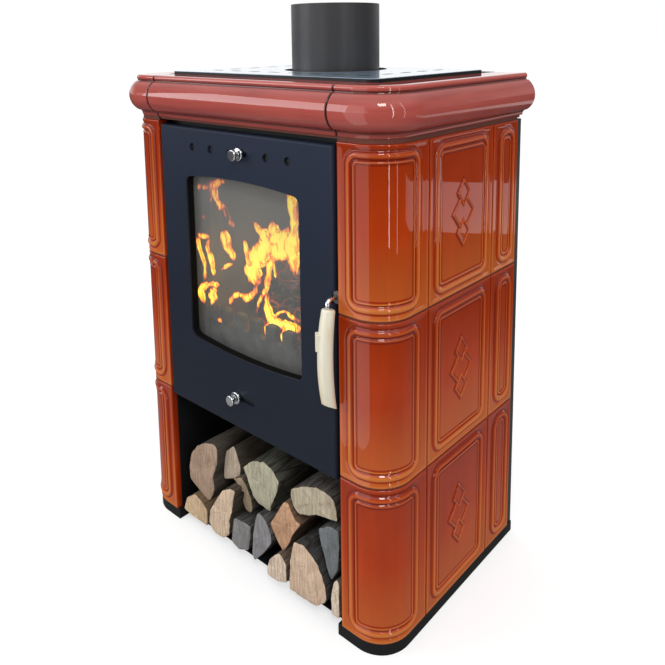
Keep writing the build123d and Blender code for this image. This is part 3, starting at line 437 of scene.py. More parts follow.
def sooted_steel():
    """Bare steel that the fire has greyed, with soot and a rust tint low down."""
    f = Finish("sooted_steel", {})
    cloud = f.noise(14.0, 5.0, distortion=0.4)
    fine = f.noise(260.0, 4.0)
    base = f.mix(cloud.step(0.3, 0.72), (0.045, 0.043, 0.041), (0.16, 0.155, 0.145))
    base = f.mix(f.noise(30.0, 3.0).step(0.56, 0.72) * 0.35, base, (0.12, 0.06, 0.032))
    return f.skin(base, fine * 0.2 + 0.55, fine, 0.5, 0.3, Metallic=cloud * 0.3)


def cast_iron():
    """Sand-cast iron with a grainy skin and a dry grey bloom of ash."""
    f = Finish("cast_iron", {"Metallic": 0.35})
    grain = f.noise(520.0, 4.0)
    pits = f.cells(240.0).step(0.02, 0.3)
    bloom = f.noise(22.0, 4.0)
    base = f.mix(bloom.step(0.35, 0.7), (0.055, 0.054, 0.052), (0.19, 0.185, 0.175))
    return f.skin(base, grain * 0.2 + 0.5, grain * 0.7 + pits * 0.3, 0.6, 0.4)


def firebrick():
    """Pale pressed brick, mottled, with soot up the walls and pitting."""
    f = Finish("firebrick", {})
    grain = f.noise(300.0, 5.0)
    pits = f.cells(130.0).step(0.04, 0.22)
    soot = (f.noise(9.0, 4.0, distortion=0.5) * 1.2 + (f.height() - 0.5) * 2.2).step(0.25, 1.0)
    base = f.mix(grain, (0.22, 0.217, 0.205), (0.33, 0.325, 0.305))
    base = f.mix(soot * 0.8, base, (0.085, 0.08, 0.075))
    base = f.mix((1 - pits) * 0.6, base, (0.06, 0.055, 0.05))
    return f.skin(base, grain * 0.1 + 0.85, pits * 0.5 + grain * 0.5, 0.7, 0.8)


def window_pane():
    """Fireproof glass with a grey film of ash, thicker towards the top and seen edge-on."""
    f = Finish("window_pane", {"Base Color": (0.27, 0.275, 0.27), "Coat Weight": 1.0, "Coat Roughness": 0.02})
    haze = f.noise(11.0, 4.0, distortion=0.6)
    smear = f.noise(1.0, 4.0, stretch=(14, 1, 55))
    clear = f.wire("ShaderNodeBsdfTransparent", {"Color": (0.96, 0.965, 0.95)})
    facing = f.wire("ShaderNodeLayerWeight", {"Blend": 0.5}, "Facing")
    film = haze * 0.10 + smear * 0.06 + f.height().step(0.36, 0.66) * 0.30 + 0.13 + facing**3 * 0.3
    f.surface("ShaderNodeMixShader", clear, f.shader.outputs[0], film.clamped())
    return f.set(Roughness=smear * 0.12 + 0.1)


def rope():
    """Pale glass-fibre rope, dusty with soot."""
    f = Finish("rope", {"Sheen Weight": 0.3})
    strand = f.noise(700.0, 3.0)
    soot = f.noise(35.0, 4.0)
    base = f.mix(strand, (0.16, 0.155, 0.145), (0.42, 0.41, 0.385))
    base = f.mix(soot.step(0.4, 0.75) * 0.7, base, (0.05, 0.048, 0.045))
    return f.skin(base, strand * 0.1 + 0.85, strand, 0.8, 0.5)


def bright_steel():
    """Polished plated steel with faint turning marks."""
    f = Finish("bright_steel", {"Metallic": 1.0})
    marks = f.noise(900.0, 2.0)
    cloud = f.noise(60.0, 3.0)
    base = f.mix(cloud, (0.62, 0.63, 0.65), (0.80, 0.81, 0.83))
    return f.skin(base, cloud * 0.08 + marks * 0.05 + 0.07, marks, 0.15, 0.05)


def zinc():
    """Dull zinc of small screws and clips."""
    f = Finish("zinc", {"Metallic": 0.9})
    cloud = f.noise(420.0, 3.0)
    base = f.mix(cloud, (0.20, 0.205, 0.21), (0.42, 0.425, 0.43))
    return f.skin(base, cloud * 0.2 + 0.32, cloud, 0.3, 0.1)


def grip_glaze():
    """Cream glaze with a warmer tone where it has been handled."""
    f = Finish("grip_glaze", {"Coat Weight": 0.6, "Coat Roughness": 0.12, "IOR": 1.5})
    colour = settings().metal.grip
    cloud = f.noise(26.0, 4.0)
    worn = f.noise(1.0, 3.0, stretch=(120, 120, 16))
    base = f.mix(cloud, shade(colour, 0.90), shade(colour, 1.06))
    base = f.mix(worn.step(0.45, 0.75) * 0.6, base, (0.84, 0.67, 0.40))
    return f.skin(base, worn * 0.15 + 0.33, cloud + f.noise(500.0, 2.0) * 0.3, 0.2, 0.3)


def split_wood():
    """Split firewood: sawn ends with rings and cracks, fibrous sides and bark, toned by its own attributes."""
    f = Finish("split_wood", {})
    tone = f.attribute("tone", "Color")
    end = f.attribute("end")
    bark = f.attribute("bark")
    rings = f.attribute("ring") * 900.0
    ring = rings.calc("SINE", rings + f.noise(40.0, 2.0) * 6.0)
    fibre = f.noise(1.0, 5.0, stretch=(420, 26, 420))
    upright = f.noise(1.0, 5.0, stretch=(300, 60, 40), distortion=0.6)
    cloud = f.noise(24.0, 4.0)
    cracks = f.cells(75.0, "DISTANCE_TO_EDGE", (1, 0.16, 1)).step(0.0, 0.09)
    saw = f.noise(900.0, 2.0)
    dark = f.mix(1.0, tone, f.mix(end, (0.42, 0.36, 0.31), (0.72, 0.66, 0.60)), "MULTIPLY")
    light = f.mix(1.0, tone, f.mix(end, (1.18, 1.15, 1.08), (1.35, 1.32, 1.26)), "MULTIPLY")
    across = (ring * 0.025 + upright * 0.8 + cloud * 0.45 - 0.1).step(0.25, 0.80)
    along = (fibre * 0.9 + cloud * 0.3 - 0.1).step(0.25, 0.8)
    level = across * end + along * (1 - end)
    base = f.mix(level, dark, light)
    furrow = (1 - cracks) * bark * (1 - end)
    base = f.mix(furrow * 0.85, base, (0.018, 0.015, 0.012))
    check = (f.cells(38.0, "DISTANCE_TO_EDGE", (1, 0.3, 2.2)).step(0.0, 0.035) * -1.0 + 1.0) * end
    base = f.mix(check * cloud.step(0.5, 0.7) * 0.3, base, (0.05, 0.035, 0.022))
    relief = (fibre * 0.5 + cracks * bark * 1.3) * (1 - end) + upright * end * 0.5 + saw * 0.12 - check * 0.15
    return f.skin(base, cloud * 0.1 + 0.8, relief, 0.9, 1.5)


def charred_wood():
    """Burnt log, cracked into blocks, with a glow left in the cracks underneath."""
    f = Finish("charred_wood", {"Emission Strength": 1.0})
    cracks = f.cells(62.0, "DISTANCE_TO_EDGE", (0.5, 1, 1)).step(0.0, 0.10)
    ash = f.noise(60.0, 5.0)
    base = f.mix(ash.step(0.52, 0.75), (0.012, 0.011, 0.010), (0.20, 0.195, 0.185))
    glow = (1 - cracks) * f.noise(12.0, 2.0).step(0.45, 0.7)
    light = f.mix(glow, (0, 0, 0), (0.85, 0.10, 0.015))
    return f.skin(base, ash * 0.1 + 0.85, cracks + ash * 0.3, 0.9, 2, Emission_Color=light)


def ember():
    """Glowing coals, bright in their hearts and grey with ash on top."""
    f = Finish("ember", {"Emission Strength": 1.1})
    heat = (f.noise(55.0, 3.0) * 1.2 + f.noise(240.0, 2.0) * 0.3 - 0.25).clamped()
    base = f.mix(heat.step(0.3, 0.6), (0.13, 0.125, 0.12), (0.03, 0.012, 0.006))
    stops = [(0.35, (0, 0, 0)), (0.55, (0.5, 0.03, 0.004)), (0.75, (1.0, 0.25, 0.02)), (1.0, (1.0, 0.7, 0.2))]
    light = f.ramp(heat, stops)
    return f.skin(base, heat * 0.1 + 0.8, heat, 0.6, 1, Emission_Color=light)


def flame():
    """Burning gas: pale heart, orange body, red thinning rim."""
    f = Finish("flame", {"Base Color": (0, 0, 0), "Roughness": 1.0, "Emission Strength": settings().fire.glow})
    burn = f.attribute("burn")
    lick = f.noise(1.0, 4.0, stretch=(90, 40, 34), distortion=1.2)
    level = (burn * 1.5 + lick * 2.8 - 1.74).clamped()
    stops = [
        (0.0, (0.28, 0.02, 0.03)),
        (0.22, (0.42, 0.035, 0.02)),
        (0.42, (0.80, 0.12, 0.008)),
        (0.62, (1.0, 0.36, 0.008)),
        (0.85, (1.0, 0.62, 0.03)),
        (1.0, (1.0, 0.80, 0.07)),
    ]
    light = f.ramp(level, stops)
    return f.set(Emission_Color=light, Alpha=level.step(0.0, 0.6) * 0.95)


MAKERS = {
    maker.__name__: maker
    for maker in (
        tile_glaze, cornice_glaze, door_paint, sheet_paint, back_sheet, joint_putty, lining_black, plate_paint,
        pipe_paint, sooted_steel, cast_iron, firebrick, window_pane, rope, bright_steel, zinc, grip_glaze,
        split_wood, charred_wood, ember, flame,
    )
}


# ---------------------------------------------------------------- mesh tools


def add_object(name, data):
    """A new object of the scene."""
    made = bpy.data.objects.new(name, data)
    bpy.context.scene.collection.objects.link(made)
    return made


def smooth(mesh, sharp):
    """Smooth shading, but for edges that turn by more than so many degrees."""
    mesh.shade_smooth()
    mesh.set_sharp_from_angle(angle=math.radians(sharp))


def add_piece(name, mesh, finish, body="root", stands_for=()):
    """Puts a finished mesh into the scene as a piece that rides on a body."""
    if finish:
        mesh.materials.clear()
        mesh.materials.append(finish_named(finish))
    piece = add_object(name, mesh)
    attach(piece, body)
    if stands_for:
        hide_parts(*stands_for)
    return piece


def place(name, mesh, finish, slot, stands_for=(), sharp=50.0):
    """A modelled piece that stays with the body of the stove."""
    smooth(mesh, sharp)
    add_piece(name, mesh, finish, stands_for=stands_for)


def new_mesh(name, vertices, faces, attributes=None):
    """A mesh with point attributes, given as {name: one value a vertex}."""
    mesh = bpy.data.meshes.new(name)
    mesh.from_pydata(np.asarray(vertices, float).tolist(), [], faces)
    for label, values in (attributes or {}).items():
        layer = mesh.attributes.new(label, "FLOAT", "POINT")
        layer.data.foreach_set("value", np.asarray(values, np.float32).ravel())
    mesh.update()
    return mesh


def outward(mesh):
    """Turns the faces of a closed mesh outward."""
    work = bmesh.new()
    work.from_mesh(mesh)
    bmesh.ops.recalc_face_normals(work, faces=work.faces)
    work.to_mesh(mesh)
    work.free()
    return mesh


def merged_copy(node):
    """A CAD node's mesh as one skin: doubles merged and flat facets joined."""
    work = bmesh.new()
    work.from_mesh(NODES[node].data)
    bmesh.ops.remove_doubles(work, verts=work.verts, dist=0.002 * MM)
    bmesh.ops.dissolve_limit(work, angle_limit=math.radians(0.6), verts=work.verts, edges=work.edges)
    mesh = bpy.data.meshes.new(node + "_skin")
    work.to_mesh(mesh)
    work.free()
    return mesh


def finished_mesh(holder):
    """The evaluated mesh of an object, modifiers included; the object itself goes."""
    bpy.context.view_layer.update()
    graph = bpy.context.evaluated_depsgraph_get()
    mesh = bpy.data.meshes.new_from_object(holder.evaluated_get(graph), preserve_all_data_layers=True, depsgraph=graph)
    bpy.data.objects.remove(holder)
    return mesh


def softened(node, finish, body="root", width=None):
    """A CAD node with its sharp edges slightly rounded, which stands for the node."""
    mesh = merged_copy(node)
    holder = add_object(node + "_work", mesh)
    width = settings().metal.soften if width is None else width
    if width:
        bevel = holder.modifiers.new("Edges", "BEVEL")
        bevel.width = width
        bevel.segments = 2
        bevel.limit_method = "ANGLE"
        bevel.angle_limit = math.radians(35)
    holder.modifiers.new("Normals", "WEIGHTED_NORMAL").keep_sharp = True
    smooth(mesh, 60)
    return add_piece(node + "_dressed", finished_mesh(holder), finish, body, (node,))


def coat(finish, *nodes):
    """Gives CAD nodes that stay in view their material."""
    for node in nodes:
        piece = NODES[node]
        if not piece.material_slots:
            piece.data.materials.append(finish_named(finish))
        for held in piece.material_slots:
            held.material = finish_named(finish)


def through(points, steps):
    """A smooth line through the points, with so many steps between each two."""
    p = np.array(points, float)
    p = np.vstack([2 * p[0] - p[1], p, 2 * p[-1] - p[-2]])
    rows = []
    for a, b, c, d in zip(p, p[1:], p[2:], p[3:]):
        for t in np.arange(steps) / steps:
            rows.append(
                0.5 * (2 * b + (c - a) * t + (2 * a - 5 * b + 4 * c - d) * t**2 + (3 * b - a - 3 * c + d) * t**3)
            )
    rows.append(p[-2])
    return np.array(rows)


def lofted(rings, closed_ends=True):
    """Points and faces of a skin over rings of equal length, given as an array (rings, points, 3)."""
    count, size = rings.shape[:2]
    faces = []
    for k in range(count - 1):
        for i in range(size):
            j = (i + 1) % size
            faces.append((k * size + i, k * size + j, (k + 1) * size + j, (k + 1) * size + i))
    if closed_ends:
        faces.append(tuple(reversed(range(size))))
        faces.append(tuple((count - 1) * size + i for i in range(size)))
    return rings.reshape(-1, 3), faces


def joined(shapes):
    """Several shapes, each as points and faces, as one."""
    points, faces = np.empty((0, 3)), []
    for more, skin in shapes:
        faces += [tuple(len(points) + i for i in face) for face in skin]
        points = np.vstack([points, more])
    return points, faces


# ---------------------------------------------------------------- tiles


def hump(distance, centre, half_width, power=1.0):
    """A smooth hump, one at its centre and nought from half_width on."""
    return np.clip(1 - ((distance - centre) / half_width) ** 2, 0, None) ** power


def ramp_up(value, low, high):
    t = np.clip((value - low) / (high - low), 0, 1)
    return t * t * (3 - 2 * t)


def grid_lines(total, zones, fine, coarse):
    """Places from 0 to total, close together inside the zones and at both edges."""
    edge = [0.0, 0.35 * MM, 0.9 * MM, 1.6 * MM, 2.4 * MM]
    first, last = edge[-1], total - edge[-1]
    stops = sorted({first, last, *(min(max(z, first), last) for pair in zones for z in pair)})
    lines = list(edge)
    for low, high in zip(stops, stops[1:]):
        middle = (low + high) / 2
        step = fine if any(a <= middle <= b for a, b in zones) else coarse
        count = max(1, round((high - low) / step))
        lines += list(np.linspace(low, high, count + 1)[1:])
    lines += [total - e for e in reversed(edge[:-1])]
    return np.array(lines)


# height of the middle over the panel's middle, half width and half height of each rhombus, in mm
LOZENGES = ((0, 27, 29), (29, 15, 18), (-29, 15, 18))


def ornament(x, y, rise):
    """Height and relief tone of the three rhombi about the middle of the panel, the small ones over the large one."""
    height = np.zeros(x.shape)
    tone = np.zeros(x.shape)
    for middle, half_width, half_height in LOZENGES:
        a, b = half_width * MM, half_height * MM
        beyond = (np.abs(x) / a + np.abs(y - middle * MM) / b - 1) / math.hypot(1 / a, 1 / b)
        inside = ramp_up(-beyond, 0, 2.0 * MM)
        line = hump(beyond, 0, 2.3 * MM)
        height = np.maximum(height * (1 - inside) + 0.9 * MM * inside, rise * line)
        tone = tone * (1 - inside) * (1 - line) + 0.45 * hump(beyond, 0, 1.6 * MM)
        tone -= 1.1 * hump(beyond, 3.0 * MM, 1.6 * MM) * (height < 0.3 * rise)
        tone -= 0.8 * hump(beyond, -2.8 * MM, 1.4 * MM)
    return height, tone


# grooves beside a tile's bead: place in mm inward from its crest, half width in mm, height in mm
GROOVES = ((-6.6, 2.4, -0.9), (6.3, 1.9, -0.9))
# glaze tone across the moulding: place and half width in mm, weight
TONES = ((0, 3.4, 0.75), (9.2, 1.5, 0.9), (-5.6, 2.2, -0.8), (6.0, 2.1, -1.1), (12.0, 2.0, -0.85))


def tile_relief(s, t, ring, corner, with_ornament):
    """Height over the tile face and glaze tone at distance s along the face and t up it."""
    cfg = settings().tiles
    low, high, bottom, top = ring
    half_s, half_t = (high - low) / 2, (top - bottom) / 2
    x, y = s - (low + high) / 2, t - (bottom + top) / 2
    qx, qy = np.abs(x) - half_s + corner, np.abs(y) - half_t + corner
    inward = -(np.hypot(np.clip(qx, 0, None), np.clip(qy, 0, None)) + np.minimum(np.maximum(qx, qy), 0) - corner)
    height = cfg.bead_rise * hump(inward, 0, cfg.bead_half_width, 0.8)
    for middle, half, rise in GROOVES:
        height += rise * MM * hump(inward, middle * MM, half * MM, 1.5)
    height += cfg.ridge_rise * hump(inward, 9.2 * MM, 2.1 * MM)
    height += 0.6 * MM * ramp_up(inward, 10.4 * MM, 13 * MM)
    tone = sum(weight * hump(inward, middle * MM, half * MM) for middle, half, weight in TONES)
    if with_ornament:
        more, marks = ornament(x, y, cfg.ornament_rise)
        height += more
        tone += marks
    return height, tone


def wrap_length(front_x, back_y):
    """Length along the face from a point of the front, round the corner, to a point of the side."""
    return (SIDE - CORNER - front_x) + BEND + (back_y - FRONT - CORNER)


def plan_point(s, front_x, side_y):
    """Plan point and outward direction at distance s: along the front, round the corner and back along the side."""
    if front_x is None:
        return (SIDE, side_y + s), ASIDE
    arc_x = SIDE - CORNER
    flat = arc_x - front_x
    if s <= flat:
        return (front_x + s, FRONT), AHEAD
    if s <= flat + BEND:
        angle = (s - flat) / CORNER
        n = (math.sin(angle), -math.cos(angle))
        return (arc_x + CORNER * n[0], FRONT + CORNER + CORNER * n[1]), n
    return (SIDE, FRONT + CORNER + s - flat - BEND), ASIDE


# how far the bead lies from the edge nearer the door and from the other, its corner radius, whether with ornament
TILE_KINDS = {
    "corner": (19 * MM, 25 * MM, 15 * MM, False),
    "full": (19 * MM, 19 * MM, 15 * MM, True),
    "narrow": (22 * MM, 14.5 * MM, 17 * MM, False),
}
BEAD_MARGIN = 15 * MM
FINE_OUTSIDE, FINE_INSIDE = 9 * MM, 14 * MM
FINE_ORNAMENT = (34 * MM, 56 * MM)


def tile_mesh(kind, node):
    """One glazed tile as a closed shell; node gives its place on the right-hand side."""
    cfg = settings().tiles
    low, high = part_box(node)
    near, far, corner, with_ornament = TILE_KINDS[kind]
    front_x = low.x if kind == "corner" else None
    total = wrap_length(low.x, high.y) if kind == "corner" else high.y - low.y
    tall = high.z - low.z
    ring = (near, total - far, BEAD_MARGIN, tall - BEAD_MARGIN)
    zones_s, zones_t = (
        [(ring[k] - FINE_OUTSIDE, ring[k] + FINE_INSIDE), (ring[k + 1] - FINE_INSIDE, ring[k + 1] + FINE_OUTSIDE)]
        for k in (0, 2)
    )
    if with_ornament:
        zones_s.append(((ring[0] + ring[1]) / 2 - FINE_ORNAMENT[0], (ring[0] + ring[1]) / 2 + FINE_ORNAMENT[0]))
        zones_t.append((tall / 2 - FINE_ORNAMENT[1], tall / 2 + FINE_ORNAMENT[1]))
    s_lines = grid_lines(total, zones_s, cfg.fine_step, cfg.coarse_step)
    t_lines = grid_lines(tall, zones_t, cfg.fine_step, cfg.coarse_step)
    s, t = np.meshgrid(s_lines, t_lines, indexing="ij")
    height, tone = tile_relief(s, t, ring, corner, with_ornament)
    edge = np.minimum(np.minimum(s, total - s), np.minimum(t, tall - t))
    height += 0.8 * MM * (1 - ramp_up(edge, 4 * MM, 8 * MM)) * ramp_up(edge, 0, 1.5 * MM)
    r = cfg.edge_round
    height -= r - np.sqrt(np.clip(r * r - np.clip(r - edge, 0, r) ** 2, 0, None))
    # painted shade: the last term darkens each tile towards its top and lightens it towards its bottom, a painted
    # reflection of dark surroundings on the upper part
    tone += 0.4 * hump(edge, 1.9 * MM, 1.6 * MM) - 0.3 * hump(edge, 0, 1.0 * MM) - 1.0 * (t / tall - 0.5)
    base, out = (np.array(column) for column in zip(*(plan_point(value, front_x, low.y) for value in s_lines)))
    columns, rows = s.shape
    face = np.empty((columns, rows, 3))
    face[..., :2] = base[:, None, :] + out[:, None, :] * height[..., None]
    face[..., 2] = low.z + t
    index = np.arange(columns * rows).reshape(columns, rows)
    faces = np.stack([index[:-1, :-1], index[1:, :-1], index[1:, 1:], index[:-1, 1:]], -1).reshape(-1, 4).tolist()
    last = columns - 1
    rim = [(i, 0) for i in range(columns)] + [(last, j) for j in range(1, rows)]
    rim += [(i, rows - 1) for i in range(last - 1, -1, -1)] + [(0, j) for j in range(rows - 2, 0, -1)]
    back = {spot: columns * rows + number for number, spot in enumerate(rim)}
    behind = [(*(base[i] - out[i] * TILE_RIM), face[i, j, 2]) for i, j in rim]
    faces += [(int(index[b]), int(index[a]), back[a], back[b]) for a, b in zip(rim, rim[1:] + rim[:1])]
    faces += [(back[i, 0], back[i, rows - 1], back[i + 1, rows - 1], back[i + 1, 0]) for i in range(1, last - 1)]
    faces.append([back[0, j] for j in range(rows)] + [back[1, rows - 1], back[1, 0]])
    faces.append([back[last, j] for j in range(rows - 1, -1, -1)] + [back[last - 1, 0], back[last - 1, rows - 1]])
    tones = np.concatenate([np.clip(tone, -1, 1).ravel(), np.full(len(behind), -0.6)])
    return np.vstack([face.reshape(-1, 3), behind]), faces, tones


def both_sides(points, faces):
    """A right-hand shape, and the same mirrored to the left with its faces still outward."""
    yield "right", points, faces
    yield "left", points * np.array([-1.0, 1.0, 1.0]), [list(reversed(face)) for face in faces]


def build_tiles():
    for kind in TILE_KINDS:
        for course in COURSES:
            points, faces, tones = tile_mesh(kind, f"tile_{kind}_{course}_right")
            for side, *shape in both_sides(points, faces):
                node = f"tile_{kind}_{course}_{side}"
                mesh = new_mesh(node + "_skin", *shape, {"relief": tones})
                place(f"glazed_{kind}_{course}_{side}", mesh, "tile_glaze", "tile_glaze", stands_for=(node,))


JOINT_BACK = 3.9 * MM


def joint_strip(spots, low, high, outer):
    """A strip over spots (plan point, outward direction) that fills a joint to a little below the face."""
    rings = []
    for spot, out in spots:
        near, deep = ([spot[i] - out[i] * back for i in (0, 1)] for back in (outer, JOINT_BACK))
        rings.append([(*near, low), (*near, high), (*deep, high), (*deep, low)])
    return lofted(np.array(rings))


def build_joints():
    """Fireclay between the tile courses, beside the full tiles and under the cornice."""
    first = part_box("tile_corner_low_right")[0].x
    flat = SIDE - CORNER - first
    total = wrap_length(first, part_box("tile_narrow_low_right")[1].y)
    marks = {*np.linspace(0.5 * MM, flat, 4), *np.linspace(flat, flat + BEND, 24)}
    marks = sorted(marks | {*np.linspace(flat + BEND, total, 12)})
    course = [plan_point(s, first, None) for s in marks]
    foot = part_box("cornice_right")[0].z
    corners = [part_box(f"tile_corner_{name}_right") for name in COURSES]
    above = [low.z + 0.3 * MM for low, _ in corners[1:]] + [foot]
    strips = [joint_strip(course, box[1].z - 0.3 * MM, high, 1.2 * MM) for box, high in zip(corners, above)]
    for before, kind in (("corner", "full"), ("full", "narrow")):
        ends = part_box(f"tile_{before}_low_right")[1].y - 0.2 * MM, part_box(f"tile_{kind}_low_right")[0].y + 0.2 * MM
        for name in COURSES:
            low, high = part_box(f"tile_{kind}_{name}_right")
            strips.append(joint_strip([((SIDE, y), ASIDE) for y in ends], low.z, high.z, 1.3 * MM))
    for side, *shape in both_sides(*joined(strips)):
        place(f"joint_fill_{side}", outward(new_mesh(f"joint_fill_{side}", *shape)), "joint_putty", None, sharp=40)


# ---------------------------------------------------------------- cornice


def arc_points(start, middle, end, count):
    """Points on the circle through three points, start and end included."""
    a, b, c = (np.array(p, float) for p in (start, middle, end))
    d = 2 * (a[0] * (b[1] - c[1]) + b[0] * (c[1] - a[1]) + c[0] * (a[1] - b[1]))
    sq = [p @ p for p in (a, b, c)]
    centre = np.array([
        (sq[0] * (b[1] - c[1]) + sq[1] * (c[1] - a[1]) + sq[2] * (a[1] - b[1])) / d,
        (sq[0] * (c[0] - b[0]) + sq[1] * (a[0] - c[0]) + sq[2] * (b[0] - a[0])) / d,
    ])
    radius = np.hypot(*(a - centre))
    angles = np.unwrap([math.atan2(*(p - centre)[::-1]) for p in (a, b, c)])
    sweep = np.linspace(angles[0], angles[2], count)
    return [(centre[0] + radius * math.cos(w), centre[1] + radius * math.sin(w)) for w in sweep]


def cornice_section():
    """Outer and inner outline of the cornice in mm: outward from the tile face, and up from its foot."""
    out = arc_points((0, 0), (2.35, 6.36), (8, 9), 8)
    out += arc_points((8, 9), (21, 33), (8.5, 57), 30)[1:]
    out += arc_points((8.5, 57), (5.2, 59), (6.5, 61.2), 7)[1:]
    out += [(6.5, 63.0)] + arc_points((6.5, 64.2), (5.4, 66.8), (2.9, 67.8), 6)
    out += [(-6, 67.8), (-20, 67.5), (-34, 67.5), (-44, 67.8)] + arc_points((-47, 67.8), (-49.2, 66.9), (-50, 64.8), 5)
    out += [(-50, 40), (-50, 0)]
    inner = [(-10, 0.001), (-10, 19), (1, 29), (1, 47.8), (-10, 57.8), (-40, 57.8), (-40, 0.001)]
    return np.array(out) * MM, np.array(inner) * MM


# glaze tone up the cornice: height and half width in mm, weight, and how far out it begins; the dark groove at 59 is
# glaze run together, the light top rounding and bulge are painted highlight, the dark cove under the bulge is partly
# pooled glaze and partly painted shade
CORNICE_TONES = ((59, 2.6, -0.9, 0), (7.5, 4.0, -0.8, 0), (65.5, 3.0, 0.6, 0), (33, 18, 0.35, 10))


def cornice_tone(section):
    """Glaze tone round the outer outline, with painted highlight on the top rounding and bulge and painted shade in the
    cove beneath.
    """
    out, up = section.T / MM
    return sum(weight * hump(up, middle, half) * (out > least) for middle, half, weight, least in CORNICE_TONES)


def cornice_sweep(node, stations):
    """A cornice length over stations (plan point, outward direction, shrink at a rounded end)."""
    outer, inner = cornice_section()
    z_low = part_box(node)[0].z
    middle = outer.mean(0)
    size = np.abs(outer - middle).max(0)
    rings, holes = [], []
    for spot, out, shrink in stations:
        pulled = outer + (middle - outer) / size * shrink
        pulled[:, 1] = np.maximum(pulled[:, 1], 0)
        for rows, section in ((rings, pulled), (holes, inner)):
            rows.append([(spot[0] + out[0] * a, spot[1] + out[1] * a, z_low + b) for a, b in section])
    hole_points, hole_faces = lofted(np.array(holes), False)
    skin = lofted(np.array(rings), False)
    points, faces = joined([skin, (hole_points, [face[::-1] for face in hole_faces])])
    n, m = len(outer), len(inner)
    for k in (0, len(rings) - 1):
        fill = tessellate_polygon([[Vector(p) for p in rings[k]], [Vector(p) for p in holes[k]]])
        ids = [k * n + i for i in range(n)] + [len(skin[0]) + k * m + i for i in range(m)]
        faces += [tuple(ids[i] for i in tri) for tri in fill]
    at_end = np.repeat([shrink > 0.4 * MM for *_, shrink in stations], n)
    tones = np.concatenate([np.tile(cornice_tone(outer), len(rings)) - 1.2 * at_end, np.full(len(hole_points), -0.5)])
    mesh = outward(new_mesh("glazed_" + node, points, faces, {"relief": np.clip(tones, -1, 1)}))
    place("glazed_" + node, mesh, "cornice_glaze", "cornice_glaze", stands_for=(node,), sharp=42)


def cornice_stations(length, spot_at, round_end, step):
    """Stations along a length, closer together where the section shrinks into a rounded end; its start is one."""
    r = 2.2 * MM
    marks = {0.0, length, *np.linspace(3 * MM, length - 3 * MM, max(2, round(length / step)))}
    for e in (0.3 * MM, 0.9 * MM, r):
        marks |= {e, length - e} if round_end else {e}
    rows = []
    for s in sorted(marks):
        e = min(s, length - s if round_end else r, r)
        rows.append((*spot_at(s), r - math.sqrt(max(r * r - (r - e) ** 2, 0))))
    return rows


def build_cornice():
    low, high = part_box("cornice_front")
    cornice_sweep(
        "cornice_front", cornice_stations(high.x - low.x, lambda s: ((low.x + s, FRONT), AHEAD), True, 16 * MM)
    )
    low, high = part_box("cornice_right")
    rows = cornice_stations(wrap_length(low.x, high.y), lambda s: plan_point(s, low.x, None), False, 4 * MM)
    cornice_sweep("cornice_right", rows)
    cornice_sweep("cornice_left", [((-spot[0], spot[1]), (-out[0], out[1]), shrink) for spot, out, shrink in rows])


# ---------------------------------------------------------------- metalwork


def pattern(name, inputs):
    """A geometry tree with a geometry socket at each end and the named inputs, given as {name: kind}."""
    tree = bpy.data.node_groups.new(name, "GeometryNodeTree")
    for way in ("INPUT", "OUTPUT"):
        tree.interface.new_socket("Geometry", in_out=way, socket_type="NodeSocketGeometry")
    for label, kind in inputs.items():
        tree.interface.new_socket(label, in_out="INPUT", socket_type="NodeSocket" + kind)
    g = Graph(tree)
    return g, g.node("NodeGroupInput").outputs


def scatter(g, source, points, instance, turns):
    """Ends a tree with an instance on every point, made real and given the tree's material."""
    spread = g.wire("GeometryNodeInstanceOnPoints", {"Points": points, "Instance": instance, **turns})
    real = g.wire("GeometryNodeRealizeInstances", {"Geometry": spread})
    dressed = g.wire("GeometryNodeSetMaterial", {"Geometry": real, "Material": source["Material"]})
    g.node("NodeGroupOutput", {"Geometry": dressed})
    return g.tree


def grown(name, base_mesh, tree, values):
    """The mesh that a tree makes of a base mesh, with its inputs set by their identifiers."""
    holder = add_object(name + "_base", base_mesh)
    grow = holder.modifiers.new("Pattern", "NODES")
    grow.node_group = tree
    by_name = {item.name: item.identifier for item in tree.interface.items_tree if item.in_out == "INPUT"}
    for label, value in values.items():
        grow[by_name[label]] = value
    return finished_mesh(holder)


def screw_tree():
    """Socket-head screws on the base mesh's vertices, facing backward."""
    g, source = pattern("screws", {"Radius": "Float", "Height": "Float", "Material": "Material"})
    size = {"Vertices": 14, "Radius": source["Radius"], "Depth": source["Height"]}
    head = g.node("GeometryNodeMeshCylinder", size).outputs
    push = {"Mesh": head["Mesh"], "Selection": head["Top"], "Offset Scale": 0.3 * MM}
    inset = g.node("GeometryNodeExtrudeMesh", push).outputs
    shrink = {"Geometry": inset["Mesh"], "Selection": inset["Top"], "Scale": 0.6}
    small = g.wire("GeometryNodeScaleElements", shrink)
    push = {"Mesh": small, "Selection": inset["Top"], "Offset Scale": -0.9 * MM}
    sunk = g.wire("GeometryNodeExtrudeMesh", push, "Mesh")
    turn = g.wire("FunctionNodeAlignRotationToVector", {"Vector": (0, 1, 0)}, axis="Z")
    points = g.wire("GeometryNodeMeshToPoints", {"Mesh": source["Geometry"]})
    return scatter(g, source, points, sunk, {"Rotation": turn})


SCREW_INSET_X, SCREW_INSET_Z = 9 * MM, 14 * MM


